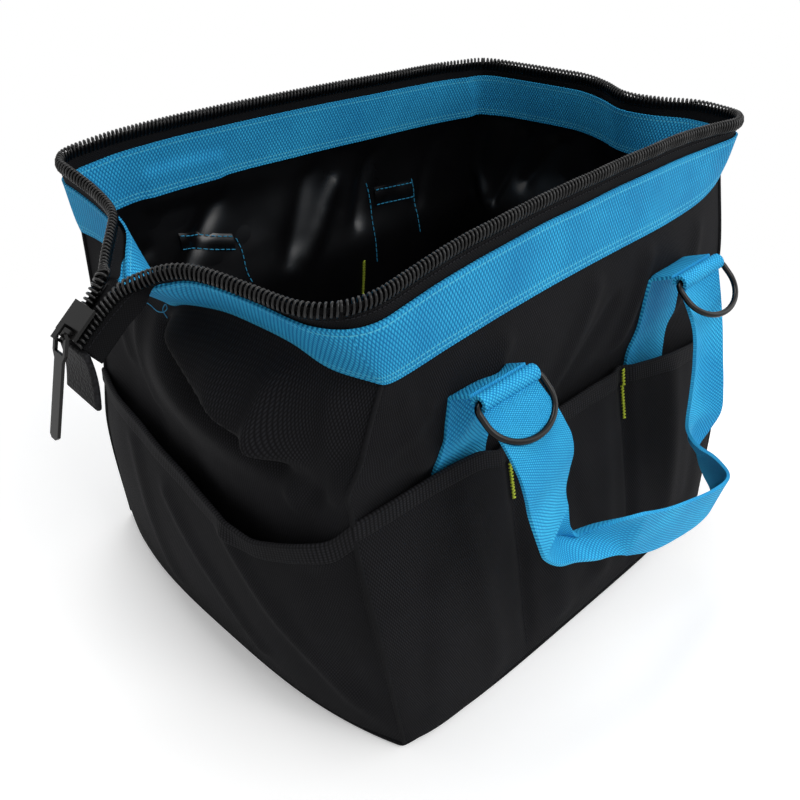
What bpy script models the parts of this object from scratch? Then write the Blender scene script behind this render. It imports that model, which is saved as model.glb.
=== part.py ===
"""An open-mouth tool bag in black cloth with a blue mouth band, webbing handles and a coil zip.

Run with: blender --background --python part.py
Metres, +Z up. X runs along the long walls, the zip's tail is at -X, and the front is -Y.
The origin is on the floor, under the middle of the mouth.
"""
import math

import bmesh
import bpy
from mathutils import Matrix, Vector

# Whole bag
MOUTH_LENGTH = 0.305
MOUTH_DEPTH = 0.209
BAG_HEIGHT = 0.254
BASE_DEPTH = 0.263
BASE_END_SWELL = 0.008
BASE_SIDE_SWELL = 0.0055

# Cloth and clearances
FABRIC = 0.003
SEAT_GAP = 0.0003
SWEEP_GAP = 0.0005
CURVE_GAP = 0.0007

# Base
BASE_THICKNESS = 0.003
BOARD_THICKNESS = 0.003
BOARD_INSET = 0.003

# Long walls, as depths of the outer face from the middle of the bag
WALL_FOOT_DEPTH = 0.112
WALL_WAIST_DEPTH = 0.1025
WALL_SHOULDER_DEPTH = 0.1155
WALL_SHOULDER_HEIGHT = 0.188

# How far a long wall can lean out, in degrees
WALL_OPENS = 5.0

# End walls
END_FOOT_DEPTH = 0.1305
LEFT_END_SLACK = 0.033
RIGHT_END_SLACK = 0.004
END_SLACK_POWER = 3.0

# Mouth band and its frame wire
BAND_HEIGHT = 0.032
BAND_THICKNESS = 0.0013
WIRE_RADIUS = 0.0015
WIRE_DROP = 0.006

# Zip
COIL_RADIUS = 0.003
TAPE_THICKNESS = 0.0012
TAPE_SHOWN = 0.0067
TAIL_COIL_SPACING = 0.009
TAIL_WIDTH = 0.032
TAIL_LENGTH = 0.0425
TAIL_TAPE_START = 0.006
TAIL_SLOPE = 40.0
TAIL_NECK = 0.012
NECK_ALONG_SHARE = 0.3
NECK_ACROSS_SHARE = 0.6

# Slider and puller
SLIDER_FROM_MOUTH = 0.034
SLIDER_LENGTH = 0.015
SLIDER_WIDTH = 0.015
SLIDER_PLATE = 0.0015
BRIDGE_WIDTH = 0.003
BRIDGE_BAR = 0.0012
BRIDGE_START = 0.0035
BRIDGE_LENGTH = 0.0078
PULLER_FROM_CENTRE = 0.0079
PULLER_THICKNESS = 0.0016
PULLER_LENGTH = 0.050
PULLER_EYE_WIDTH = 0.010
PULLER_EYE_LENGTH = 0.0105
PULLER_RIM = 0.0016
PULLER_STRIP_WIDTH = 0.0065
PULLER_HANG = 15.0

# Folded tab at the end of the zip
TAB_WIDTH = 0.022
TAB_LENGTH = 0.0285
TAB_THICKNESS = 0.004
TAB_FOLD = 0.001

# Pocket rows on the long walls
POCKET_HEIGHT = 0.140
POCKET_CLOTH = 0.002
POCKET_FOOT_DEPTH = 0.133
POCKET_RIM_DEPTH = 0.1165
POCKET_SEAM_SPACING = 0.100
POCKET_SEAM_WIDTH = 0.004
POCKET_FLOOR = 0.002

# End pockets
END_POCKET_FOOT_SWELL = 0.010
END_POCKET_RIM_SWELL = 0.022
END_POCKET_RIM_LOW = 0.118
END_POCKET_RIM_HIGH = 0.158

# Rim bindings and bartacks
BINDING_WIDTH = 0.012
BINDING_THICKNESS = 0.001
BARTACK_WIDTH = 0.0028
BARTACK_LENGTH = 0.024
BARTACK_THICKNESS = 0.0008

# Webbing handles
STRAP_WIDTH = 0.038
STRAP_THICKNESS = 0.0018
STRAP_SPACING = 0.160
STRAP_STANDOFF = 0.008
STRAP_FOOT_HEIGHT = 0.100
RING_BELOW_BAND = 0.012
HANDLE_DROP = 0.1335
HANDLE_CORNER = 0.030
HANDLE_TILT = 26.0
FOLD_OVERLAP = 0.005

# D-rings
RING_WIRE_RADIUS = 0.0016
RING_PLAY = 0.001
RING_ARM = 0.009
RING_REACH = 0.0255
RING_CORNER = 0.004

# Modelling steps, as counts, and the angle above which an edge is shaded sharp
END_STEPS = 12
END_WALL_LEVELS = 7
ARC_STEPS = 8
CORNER_STEPS = 5
SHARP_ANGLE = 40.0

FRONT = -1
REAR = 1
LEFT = -1
RIGHT = 1
SIDE_NAMES = {FRONT: "front", REAR: "rear"}
END_NAMES = {LEFT: "left", RIGHT: "right"}

# Worked out from the sizes above
end_face = MOUTH_LENGTH / 2
band_top = BAG_HEIGHT - 2 * COIL_RADIUS - TAPE_SHOWN
band_bottom = band_top - BAND_HEIGHT
coil_height = BAG_HEIGHT - COIL_RADIUS
tape_top = coil_height - COIL_RADIUS - SEAT_GAP
wire_height = band_top - WIRE_DROP
wall_top = wire_height - WIRE_RADIUS - SEAT_GAP
wall_bottom = BASE_THICKNESS + SEAT_GAP
wall_reach = end_face - FABRIC - SEAT_GAP - BAND_THICKNESS - SWEEP_GAP
wall_top_depth = MOUTH_DEPTH / 2 + FABRIC / 2
hinge_depth = WALL_FOOT_DEPTH - FABRIC
ring_height = band_bottom - RING_BELOW_BAND
hook_inner = RING_WIRE_RADIUS + SEAT_GAP
hook_outer = hook_inner + STRAP_THICKNESS


def clear_scene():
    for old in list(bpy.data.objects):
        bpy.data.objects.remove(old, do_unlink=True)


def finish(name, colour, roughness, metallic=0.0):
    """A Principled material with one colour."""
    material = bpy.data.materials.new(name)
    material.use_nodes = True
    shader = material.node_tree.nodes["Principled BSDF"]
    shader.inputs["Base Color"].default_value = (*colour, 1.0)
    shader.inputs["Roughness"].default_value = roughness
    shader.inputs["Metallic"].default_value = metallic
    return material


def make_finishes():
    """Every finish on the bag, by name."""
    return {
        "black_cloth": finish("black_cloth", (0.010, 0.010, 0.012), 0.85),
        "base_cloth": finish("base_cloth", (0.012, 0.012, 0.013), 0.80),
        "board": finish("board", (0.030, 0.030, 0.032), 0.60),
        "blue_band": finish("blue_band", (0.013, 0.305, 0.645), 0.70),
        "blue_webbing": finish("blue_webbing", (0.010, 0.270, 0.600), 0.65),
        "black_binding": finish("black_binding", (0.012, 0.012, 0.013), 0.75),
        "zip_tape": finish("zip_tape", (0.010, 0.010, 0.011), 0.80),
        "zip_coil": finish("zip_coil", (0.014, 0.014, 0.015), 0.35),
        "lime_thread": finish("lime_thread", (0.578, 0.687, 0.068), 0.60),
        "frame_steel": finish("frame_steel", (0.450, 0.450, 0.460), 0.35, 1.0),
        "black_metal": finish("black_metal", (0.020, 0.020, 0.022), 0.25, 1.0),
        "end_tab_cloth": finish("end_tab_cloth", (0.012, 0.012, 0.013), 0.70),
    }


def add_object(name, bm, material, smooth=False):
    """Turns a bmesh into an object at the origin, with its faces pointing outwards."""
    bmesh.ops.recalc_face_normals(bm, faces=bm.faces)
    mesh = bpy.data.meshes.new(name)
    bm.to_mesh(mesh)
    bm.free()
    mesh.materials.append(material)
    if smooth:
        mesh.shade_smooth()
        mesh.set_sharp_from_angle(angle=math.radians(SHARP_ANGLE))
    thing = bpy.data.objects.new(name, mesh)
    bpy.context.collection.objects.link(thing)
    return thing


def prism(name, outline, direction, material, smooth=False):
    """A closed solid: a flat outline of 3D points, carried along a direction."""
    bm = bmesh.new()
    corners = [bm.verts.new(point) for point in outline]
    base = bm.faces.new(corners)
    grown = bmesh.ops.extrude_face_region(bm, geom=[base])
    moved = [item for item in grown["geom"] if isinstance(item, bmesh.types.BMVert)]
    bmesh.ops.translate(bm, verts=moved, vec=direction)
    return add_object(name, bm, material, smooth)


def side_prism(name, side, outline, low_x, high_x, material):
    """A prism along X from (depth, height) points, on the front or the rear of the bag."""
    points = [Vector((low_x, side * depth, height)) for depth, height in outline]
    return prism(name, points, Vector((high_x - low_x, 0, 0)), material)


def tube(name, points, radius, material, closed=False):
    """A round tube through points, with filled ends where it is open."""
    curve = bpy.data.curves.new(name, "CURVE")
    curve.dimensions = "3D"
    curve.bevel_depth = radius
    curve.bevel_resolution = 2
    curve.use_fill_caps = True
    spline = curve.splines.new("POLY")
    spline.points.add(len(points) - 1)
    for place, point in zip(spline.points, points):
        place.co = (*point, 1)
    spline.use_cyclic_u = closed
    spline.use_smooth = True
    curve.materials.append(material)
    thing = bpy.data.objects.new(name, curve)
    bpy.context.collection.objects.link(thing)
    return thing


def hide_tool(thing):
    thing.hide_render = True
    thing.display_type = "WIRE"


def combine(target, tool, operation):
    """Adds or cuts a tool shape with an exact Boolean."""
    modifier = target.modifiers.new(tool.name, "BOOLEAN")
    modifier.operation = operation
    modifier.solver = "EXACT"
    modifier.object = tool
    hide_tool(tool)


def hang_on(pivot, parts):
    """Parents finished parts to a joint's empty without moving them."""
    for part in parts:
        part.parent = pivot
        part.matrix_parent_inverse = Matrix.Translation(-Vector(pivot["place"]))


def add_pivot(name, place, parent=None):
    """An empty on a joint's axis."""
    pivot = bpy.data.objects.new(name, None)
    pivot.location = place
    pivot["place"] = list(place)
    bpy.context.collection.objects.link(pivot)
    if parent:
        hang_on(parent, [pivot])
    return pivot


def between(low, high, share):
    return low + (high - low) * share


def wall_face(height):
    """Depth of a long wall's outer face: drawn in at the pocket rim and full at the shoulder."""
    profile = [
        (wall_bottom, WALL_FOOT_DEPTH),
        (POCKET_HEIGHT, WALL_WAIST_DEPTH),
        (WALL_SHOULDER_HEIGHT, WALL_SHOULDER_DEPTH),
        (band_top, wall_top_depth),
    ]
    for (low, low_depth), (high, high_depth) in zip(profile, profile[1:]):
        if height <= high:
            break
    return between(low_depth, high_depth, (height - low) / (high - low))


def along_wall(low, high, near, far):
    """Outline of a layer on a long wall, from near to far outside the wall's outer face."""
    bends = [POCKET_HEIGHT, WALL_SHOULDER_HEIGHT]
    heights = [low] + [bend for bend in bends if low < bend < high] + [high]
    inner = [(wall_face(height) + near, height) for height in heights]
    outer = [(wall_face(height) + far, height) for height in reversed(heights)]
    return inner + outer


def end_half_depth(height):
    """Half the depth of an end wall at a height."""
    share = (height - wall_bottom) / (band_top - wall_bottom)
    return between(END_FOOT_DEPTH, wall_top_depth, share)


def end_wall_face(end, across_share, height):
    """X of an end wall's outer face. The slack cloth stands out most at the middle of the mouth."""
    slack = LEFT_END_SLACK if end == LEFT else RIGHT_END_SLACK
    rise_share = max(0, height / band_top) ** END_SLACK_POWER
    return end * (end_face + slack * rise_share * (1 - across_share**2))


def end_layer(name, end, heights, near, far, material, low_share=-1, high_share=1):
    """A curved plate on an end wall, from near to far outside the wall's outer face."""
    bm = bmesh.new()
    rows = []
    for height in heights:
        near_row, far_row = [], []
        for step in range(END_STEPS + 1):
            share = between(low_share, high_share, step / END_STEPS)
            y = share * end_half_depth(height)
            x = end_wall_face(end, share, height)
            near_row.append(bm.verts.new((x + end * near, y, height)))
            far_row.append(bm.verts.new((x + end * far, y, height)))
        rows.append(far_row + near_row[::-1])
    skin_between(bm, rows)
    return add_object(name, bm, material, smooth=True)


def skin_between(bm, rows):
    """Joins closed rows of points, each an outer run and an inner run back, into a closed solid.

    Each square is cut along the same diagonal on both faces, so that layers stay parallel.
    """
    count = len(rows[0])
    half = count // 2
    for low, high in zip(rows, rows[1:]):
        for here in range(count):
            there = (here + 1) % count
            corners = [low[here], low[there], high[there], high[here]]
            if here >= half:
                corners = corners[1:] + corners[:1]
            bm.faces.new((corners[0], corners[1], corners[2]))
            bm.faces.new((corners[0], corners[2], corners[3]))
    for row in (rows[0], rows[-1]):
        for here in range(half - 1):
            bm.faces.new((row[here], row[here + 1], row[-here - 2], row[-here - 1]))


def base_outline(height):
    """The swollen rectangle of the base, corner by corner."""
    points = []
    half_depth = BASE_DEPTH / 2
    for step in range(ARC_STEPS):
        share = between(-1, 1, step / ARC_STEPS)
        points.append((end_face * share, -half_depth - BASE_SIDE_SWELL * (1 - share**2)))
    for step in range(ARC_STEPS):
        share = between(-1, 1, step / ARC_STEPS)
        points.append((end_face + BASE_END_SWELL * (1 - share**2), half_depth * share))
    other_half = [(-x, -y) for x, y in points]
    return [Vector((x, y, height)) for x, y in points + other_half]


def make_base(finishes):
    lift = Vector((0, 0, BASE_THICKNESS))
    prism("base_panel", base_outline(0), lift, finishes["base_cloth"])
    reach = wall_reach
    depth = hinge_depth - BOARD_INSET
    low = BASE_THICKNESS + SEAT_GAP
    corners = [(-reach, -depth), (reach, -depth), (reach, depth), (-reach, depth)]
    outline = [Vector((x, y, low)) for x, y in corners]
    prism("base_board", outline, Vector((0, 0, BOARD_THICKNESS)), finishes["board"])


def heights_between(low, high, count):
    return [between(low, high, step / count) for step in range(count + 1)]


def make_end_wall(end, finishes):
    """One end wall with its two band layers."""
    place = END_NAMES[end]
    band = [band_bottom, wall_top, band_top]
    inner_near = -FABRIC - SEAT_GAP - BAND_THICKNESS
    levels = heights_between(wall_bottom, band_bottom, END_WALL_LEVELS) + [wall_top]
    cloth, blue = finishes["black_cloth"], finishes["blue_band"]
    end_layer(f"{place}_end_wall", end, levels, -FABRIC, 0, cloth)
    end_layer(f"{place}_outer_band", end, band, SEAT_GAP, SEAT_GAP + BAND_THICKNESS, blue)
    end_layer(f"{place}_inner_band", end, band, inner_near, -FABRIC - SEAT_GAP, blue)


def end_pocket_surface(end, across_share, up_share):
    """A point on the outer face of an end pocket, whose rim dips and gapes in the middle."""
    middle = 1 - across_share**2
    rim = between(END_POCKET_RIM_HIGH, END_POCKET_RIM_LOW, middle)
    height = between(wall_bottom, rim, up_share)
    swell = between(END_POCKET_FOOT_SWELL, END_POCKET_RIM_SWELL, up_share) * middle
    stand = SEAT_GAP + POCKET_CLOTH + swell
    x = end_wall_face(end, across_share, height) + end * stand
    return Vector((x, across_share * end_half_depth(height), height))


def binding_foot_share(across_share):
    """Where an end pocket's binding starts, as a share of the pocket's height there."""
    rim = end_pocket_surface(LEFT, across_share, 1).z
    return 1 - BINDING_WIDTH / (rim - wall_bottom)


def end_pocket_row(end, level_share, has_floor):
    """A closed row of points: the outer face out, and the inner face or the floor's edge back."""
    outer, inner = [], []
    for step in range(END_STEPS + 1):
        across_share = between(-1, 1, step / END_STEPS)
        up_share = min(1, level_share * binding_foot_share(across_share))
        if level_share > 1:
            up_share = 1
        point = end_pocket_surface(end, across_share, up_share)
        back = point - Vector((end * POCKET_CLOTH, 0, 0))
        if has_floor:
            back.x = end_wall_face(end, across_share, point.z) + end * SEAT_GAP
        outer.append(point)
        inner.append(back)
    return outer + inner[::-1]


def make_end_pocket(end, finishes):
    """One gaping end pocket: its shell, closed at the foot, and the binding on its rim."""
    name = f"{END_NAMES[end]}_end_pocket"
    bm = bmesh.new()
    floor_shares = [0, 0.02]
    face_shares = [0.025, 0.15, 0.45, 0.75, 1, 2]
    rows = [end_pocket_row(end, share, True) for share in floor_shares]
    rows += [end_pocket_row(end, share, False) for share in face_shares]
    skin_between(bm, [[bm.verts.new(point) for point in row] for row in rows])
    add_object(name, bm, finishes["black_cloth"], smooth=True)
    make_end_binding(name, end, finishes["black_binding"])


def make_end_binding(name, end, material):
    """The binding on the outside and the top of an end pocket's rim."""
    bm = bmesh.new()
    rings = []
    reach = CURVE_GAP + BINDING_THICKNESS
    out = Vector((end, 0, 0))
    up = Vector((0, 0, 1))
    for step in range(END_STEPS + 1):
        share = between(-1, 1, step / END_STEPS)
        rim = end_pocket_surface(end, share, 1)
        foot = end_pocket_surface(end, share, binding_foot_share(share))
        section = [
            foot + out * CURVE_GAP,
            foot + out * reach,
            rim + out * reach + up * reach,
            rim - out * POCKET_CLOTH + up * reach,
            rim - out * POCKET_CLOTH + up * CURVE_GAP,
            rim + out * CURVE_GAP + up * CURVE_GAP,
        ]
        rings.append([bm.verts.new(point) for point in section])
    join_rings(bm, rings)
    return add_object(f"{name}_binding", bm, material, smooth=True)


def join_rings(bm, rings):
    """Joins U sections along a path and closes both ends."""
    count = len(rings[0])
    for low, high in zip(rings, rings[1:]):
        for here in range(count):
            there = (here + 1) % count
            bm.faces.new((low[here], low[there], high[there], high[here]))
    bm.faces.new(rings[0])
    bm.faces.new(rings[-1])


def make_wall(side, finishes):
    """One long wall with its band, frame wire, zip tape and coil."""
    name = SIDE_NAMES[side]
    reach = wall_reach
    cloth = finishes["black_cloth"]
    band = finishes["blue_band"]
    middle = MOUTH_DEPTH / 2
    inside = -FABRIC - SEAT_GAP
    panel = along_wall(wall_bottom, wall_top, -FABRIC, 0)
    outer = along_wall(band_bottom, band_top, SEAT_GAP, SEAT_GAP + BAND_THICKNESS)
    inner = along_wall(band_bottom, band_top, inside - BAND_THICKNESS, inside)
    tape_low = wire_height + WIRE_RADIUS + SEAT_GAP
    tape = [
        (middle - TAPE_THICKNESS / 2, tape_low),
        (middle + TAPE_THICKNESS / 2, tape_low),
        (middle + TAPE_THICKNESS / 2, tape_top),
        (middle - TAPE_THICKNESS / 2, tape_top),
    ]
    wire_depth = wall_face(wire_height) - FABRIC / 2
    wire = [Vector((x, side * wire_depth, wire_height)) for x in (-reach, reach)]
    coil = [Vector((x, side * middle, coil_height)) for x in (-reach, reach)]
    return [
        side_prism(f"{name}_panel", side, panel, -reach, reach, cloth),
        side_prism(f"{name}_outer_band", side, outer, -reach, reach, band),
        side_prism(f"{name}_inner_band", side, inner, -reach, reach, band),
        tube(f"{name}_frame_wire", wire, WIRE_RADIUS, finishes["frame_steel"]),
        side_prism(f"{name}_zip_tape", side, tape, -reach, reach, finishes["zip_tape"]),
        tube(f"{name}_zip_coil", coil, COIL_RADIUS, finishes["zip_coil"]),
    ]


def pocket_lift():
    """How far the pocket's foot stays above the base, so that the wall can lean out."""
    overhang = POCKET_FOOT_DEPTH - hinge_depth
    return overhang * math.sin(math.radians(WALL_OPENS)) + SEAT_GAP


def pocket_face(height):
    """Depth of a pocket row's outer face at a height."""
    share = (height - wall_bottom) / (POCKET_HEIGHT - wall_bottom)
    return between(POCKET_FOOT_DEPTH, POCKET_RIM_DEPTH, share)


def make_pocket(side, finishes):
    """A pocket row: its face, floor, ends and two stitched seams, with the binding on its rim."""
    name = f"{SIDE_NAMES[side]}_pocket"
    foot = wall_bottom + pocket_lift()
    floor = foot + POCKET_FLOOR
    rim = POCKET_HEIGHT - BINDING_THICKNESS - SEAT_GAP
    solid = [
        (wall_face(foot) + SEAT_GAP, foot),
        (pocket_face(foot), foot),
        (pocket_face(rim), rim),
        (wall_face(rim) + SEAT_GAP, rim),
    ]
    row = side_prism(name, side, solid, -wall_reach, wall_reach, finishes["black_cloth"])
    over = POCKET_HEIGHT + BINDING_WIDTH
    hollow = [
        (WALL_WAIST_DEPTH - BINDING_WIDTH, floor),
        (pocket_face(floor) - POCKET_CLOTH, floor),
        (pocket_face(over) - POCKET_CLOTH, over),
        (WALL_WAIST_DEPTH - BINDING_WIDTH, over),
    ]
    half_seam = POCKET_SEAM_WIDTH / 2
    first, last = -POCKET_SEAM_SPACING / 2, POCKET_SEAM_SPACING / 2
    spans = [
        (-wall_reach + POCKET_CLOTH, first - half_seam),
        (first + half_seam, last - half_seam),
        (last + half_seam, wall_reach - POCKET_CLOTH),
    ]
    for number, (low, high) in enumerate(spans, 1):
        tool = side_prism(f"{name}_hollow_{number}", side, hollow, low, high, row.active_material)
        combine(row, tool, "DIFFERENCE")
    return [row, make_pocket_binding(name, side, rim, finishes["black_binding"])]


def make_pocket_binding(name, side, rim, material):
    """The binding on the outside and the top of a pocket row's rim."""
    low = rim - BINDING_WIDTH
    top = rim + SEAT_GAP
    reach = SEAT_GAP + BINDING_THICKNESS
    section = [
        (pocket_face(low) + SEAT_GAP, low),
        (pocket_face(low) + reach, low),
        (pocket_face(top) + reach, POCKET_HEIGHT),
        (pocket_face(top) - POCKET_CLOTH, POCKET_HEIGHT),
        (pocket_face(top) - POCKET_CLOTH, top),
        (pocket_face(top) + SEAT_GAP, top),
    ]
    return side_prism(f"{name}_binding", side, section, -wall_reach, wall_reach, material)


def make_bartacks(side, finishes):
    """The two rows of dense stitching under the rim, one at each pocket seam."""
    high = POCKET_HEIGHT - BINDING_THICKNESS - BINDING_WIDTH - 2 * SEAT_GAP
    low = high - BARTACK_LENGTH
    reach = SEAT_GAP + BARTACK_THICKNESS
    section = [
        (pocket_face(low) + SEAT_GAP, low),
        (pocket_face(low) + reach, low),
        (pocket_face(high) + reach, high),
        (pocket_face(high) + SEAT_GAP, high),
    ]
    tacks = []
    for end in (LEFT, RIGHT):
        middle = end * POCKET_SEAM_SPACING / 2
        name = f"{SIDE_NAMES[side]}_{END_NAMES[end]}_bartack"
        low_x, high_x = middle - BARTACK_WIDTH / 2, middle + BARTACK_WIDTH / 2
        tacks.append(side_prism(name, side, section, low_x, high_x, finishes["lime_thread"]))
    return tacks


def ring_depth():
    """Depth of the D-rings' bars: the strap stands off the wall there."""
    strap = SEAT_GAP + STRAP_STANDOFF + STRAP_THICKNESS
    return wall_face(ring_height) + strap + SEAT_GAP + hook_outer


def make_strap_anchors(side, finishes):
    """The webbing that is sewn to the wall and rises to each D-ring."""
    top_depth = ring_depth() - hook_outer - SEAT_GAP - STRAP_THICKNESS
    heights = [STRAP_FOOT_HEIGHT, POCKET_HEIGHT, WALL_SHOULDER_HEIGHT]
    near = [(wall_face(height) + SEAT_GAP, height) for height in heights]
    near.append((top_depth, ring_height))
    far = [(depth + STRAP_THICKNESS, height) for depth, height in reversed(near)]
    anchors = []
    for end in (LEFT, RIGHT):
        middle = end * STRAP_SPACING / 2
        name = f"{SIDE_NAMES[side]}_{END_NAMES[end]}_strap_anchor"
        low_x, high_x = middle - STRAP_WIDTH / 2, middle + STRAP_WIDTH / 2
        webbing = finishes["blue_webbing"]
        anchors.append(side_prism(name, side, near + far, low_x, high_x, webbing))
    return anchors


def turned(side, tilt, across, along, off):
    """A point by a D-ring bar: across in X, along a direction tilted out from straight down."""
    angle = math.radians(tilt)
    out = along * math.sin(angle) + off * math.cos(angle)
    up = off * math.sin(angle) - along * math.cos(angle)
    return Vector((across, side * (ring_depth() + out), ring_height + up))


def handle_outline():
    """The flat loop of a handle as (across, along) points, from one strand's top to the other's."""
    outer = STRAP_SPACING / 2 + STRAP_WIDTH / 2
    inner = STRAP_SPACING / 2 - STRAP_WIDTH / 2
    turn = HANDLE_CORNER
    left = [(-outer, 0)]
    for step in range(CORNER_STEPS + 1):
        angle = math.pi / 2 * step / CORNER_STEPS
        across = -outer + turn * (1 - math.cos(angle))
        left.append((across, HANDLE_DROP - turn * (1 - math.sin(angle))))
    right = [(-across, along) for across, along in reversed(left)]
    inside = HANDLE_DROP - STRAP_WIDTH
    return left + right + [(inner, 0), (inner, inside), (-inner, inside), (-inner, 0)]


def make_handle(side, finishes):
    """A webbing handle: a flat loop whose two ends fold back over the D-ring bars."""
    name = f"{SIDE_NAMES[side]}_handle"
    points = handle_outline()
    low = [turned(side, HANDLE_TILT, across, along, hook_inner) for across, along in points]
    lift = turned(side, HANDLE_TILT, 0, 0, hook_outer) - turned(side, HANDLE_TILT, 0, 0, hook_inner)
    loop = prism(name, low, lift, finishes["blue_webbing"])
    for end in (LEFT, RIGHT):
        combine(loop, make_fold(name, side, end, finishes["blue_webbing"]), "UNION")
    return loop


def make_fold(name, side, end, material):
    """The fold of webbing over one D-ring bar, as a half turn round the bar."""
    outer, inner = [(FOLD_OVERLAP, hook_outer)], [(FOLD_OVERLAP, hook_inner)]
    for step in range(ARC_STEPS + 1):
        angle = math.pi * step / ARC_STEPS
        outer.append((-hook_outer * math.sin(angle), hook_outer * math.cos(angle)))
        inner.append((-hook_inner * math.sin(angle), hook_inner * math.cos(angle)))
    section = outer + inner[::-1]
    across = end * STRAP_SPACING / 2 - STRAP_WIDTH / 2
    low = [turned(side, HANDLE_TILT, across, along, off) for along, off in section]
    fold_name = f"{name}_{END_NAMES[end]}_fold"
    return prism(fold_name, low, Vector((STRAP_WIDTH, 0, 0)), material)


def ring_half():
    """Half the width of a D-ring, on its wire's middle line: the strap fits between its arms."""
    return STRAP_WIDTH / 2 + RING_PLAY + RING_WIRE_RADIUS


def ring_tilt():
    """The angle at which a D-ring rests on the face of the strap, where its bow crosses it."""
    clear = hook_outer + SEAT_GAP + RING_WIRE_RADIUS
    edge = STRAP_WIDTH / 2 + RING_WIRE_RADIUS + SEAT_GAP
    bow = math.sin(math.acos(edge / ring_half()))
    crossing = between(RING_ARM, RING_REACH, bow)
    return HANDLE_TILT + math.degrees(math.asin(clear / crossing))


def make_ring(side, end, finishes):
    """A D-ring of bent wire: its straight bar lies in the fold of the strap."""
    name = f"{SIDE_NAMES[side]}_{END_NAMES[end]}_d_ring"
    half = ring_half()
    middle = end * STRAP_SPACING / 2
    path = []
    for step in range(CORNER_STEPS):
        angle = math.pi / 2 * step / CORNER_STEPS
        across = half - RING_CORNER * (1 - math.sin(angle))
        path.append((across, RING_CORNER * (1 - math.cos(angle))))
    for step in range(2 * ARC_STEPS + 1):
        angle = math.pi * step / (2 * ARC_STEPS)
        path.append((half * math.cos(angle), between(RING_ARM, RING_REACH, math.sin(angle))))
    for step in range(CORNER_STEPS - 1, -1, -1):
        angle = math.pi / 2 * step / CORNER_STEPS
        across = -half + RING_CORNER * (1 - math.sin(angle))
        path.append((across, RING_CORNER * (1 - math.cos(angle))))
    points = [turned(side, ring_tilt(), middle + across, along, 0) for across, along in path]
    return tube(name, points, RING_WIRE_RADIUS, finishes["black_metal"], closed=True)


def tail_point(along, across, off):
    """A point on the zip's tail: along from the mouth, across in Y, off the tape's upper face."""
    angle = math.radians(TAIL_SLOPE)
    top = end_wall_face(LEFT, 0, band_top) + FABRIC / 2
    x = top - along * math.cos(angle) - off * math.sin(angle)
    z = coil_height - along * math.sin(angle) + off * math.cos(angle)
    return Vector((x, across, z))


def mouth_point(end, across_share):
    """A point on the middle line of an end wall's coil."""
    x = end_wall_face(end, across_share, band_top) - end * FABRIC / 2
    return Vector((x, across_share * MOUTH_DEPTH / 2, coil_height))


def make_zip_ends(finishes):
    """The zip on the two end walls and on the tail."""
    tape, coil = finishes["zip_tape"], finishes["zip_coil"]
    heights = [wall_top + SEAT_GAP, tape_top]
    near = -FABRIC / 2 - TAPE_THICKNESS / 2
    far = near + TAPE_THICKNESS
    reach_share = (MOUTH_DEPTH / 2) / end_half_depth(band_top)
    neck_share = TAIL_NECK / end_half_depth(band_top)
    end_layer("left_front_zip_tape", LEFT, heights, near, far, tape, -reach_share, -neck_share)
    end_layer("left_rear_zip_tape", LEFT, heights, near, far, tape, neck_share, reach_share)
    end_layer("right_zip_tape", RIGHT, heights, near, far, tape, -reach_share, reach_share)
    right = [mouth_point(RIGHT, between(-1, 1, step / END_STEPS)) for step in range(END_STEPS + 1)]
    tube("right_zip_coil", right, COIL_RADIUS, coil)
    for side in (FRONT, REAR):
        tube(f"left_{SIDE_NAMES[side]}_zip_coil", left_run(side), COIL_RADIUS, coil)
    make_tail_tape(tape)
    make_end_tab(finishes["end_tab_cloth"])


def left_run(side):
    """The left coil's middle line: along the end wall, round the neck and down the tail."""
    neck_share = TAIL_NECK / (MOUTH_DEPTH / 2)
    run = []
    for step in range(END_STEPS + 1):
        run.append(mouth_point(LEFT, side * between(1, neck_share, step / END_STEPS)))
    first = tail_point(TAIL_TAPE_START, side * TAIL_COIL_SPACING / 2, 0)
    last = run[-1]
    corner = last.lerp(first, NECK_ALONG_SHARE)
    corner.y = between(last.y, first.y, NECK_ACROSS_SHARE)
    run.append(corner)
    run.append(first)
    run.append(tail_point(TAIL_LENGTH, side * TAIL_COIL_SPACING / 2, 0))
    return run


def make_tail_tape(material):
    """The two tape edges on the tail, joined below the slider."""
    inner = TAIL_COIL_SPACING / 2 + COIL_RADIUS + SEAT_GAP
    outer = TAIL_WIDTH / 2
    start, end = TAIL_TAPE_START, TAIL_LENGTH
    joined = end + SEAT_GAP
    tip = joined + TAPE_THICKNESS
    outline = [
        (start, outer),
        (tip, outer),
        (tip, -outer),
        (start, -outer),
        (start, -inner),
        (joined, -inner),
        (joined, inner),
        (start, inner),
    ]
    low = [tail_point(along, across, -TAPE_THICKNESS / 2) for along, across in outline]
    lift = tail_point(0, 0, TAPE_THICKNESS / 2) - tail_point(0, 0, -TAPE_THICKNESS / 2)
    return prism("zip_tail_tape", low, lift, material)


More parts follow.
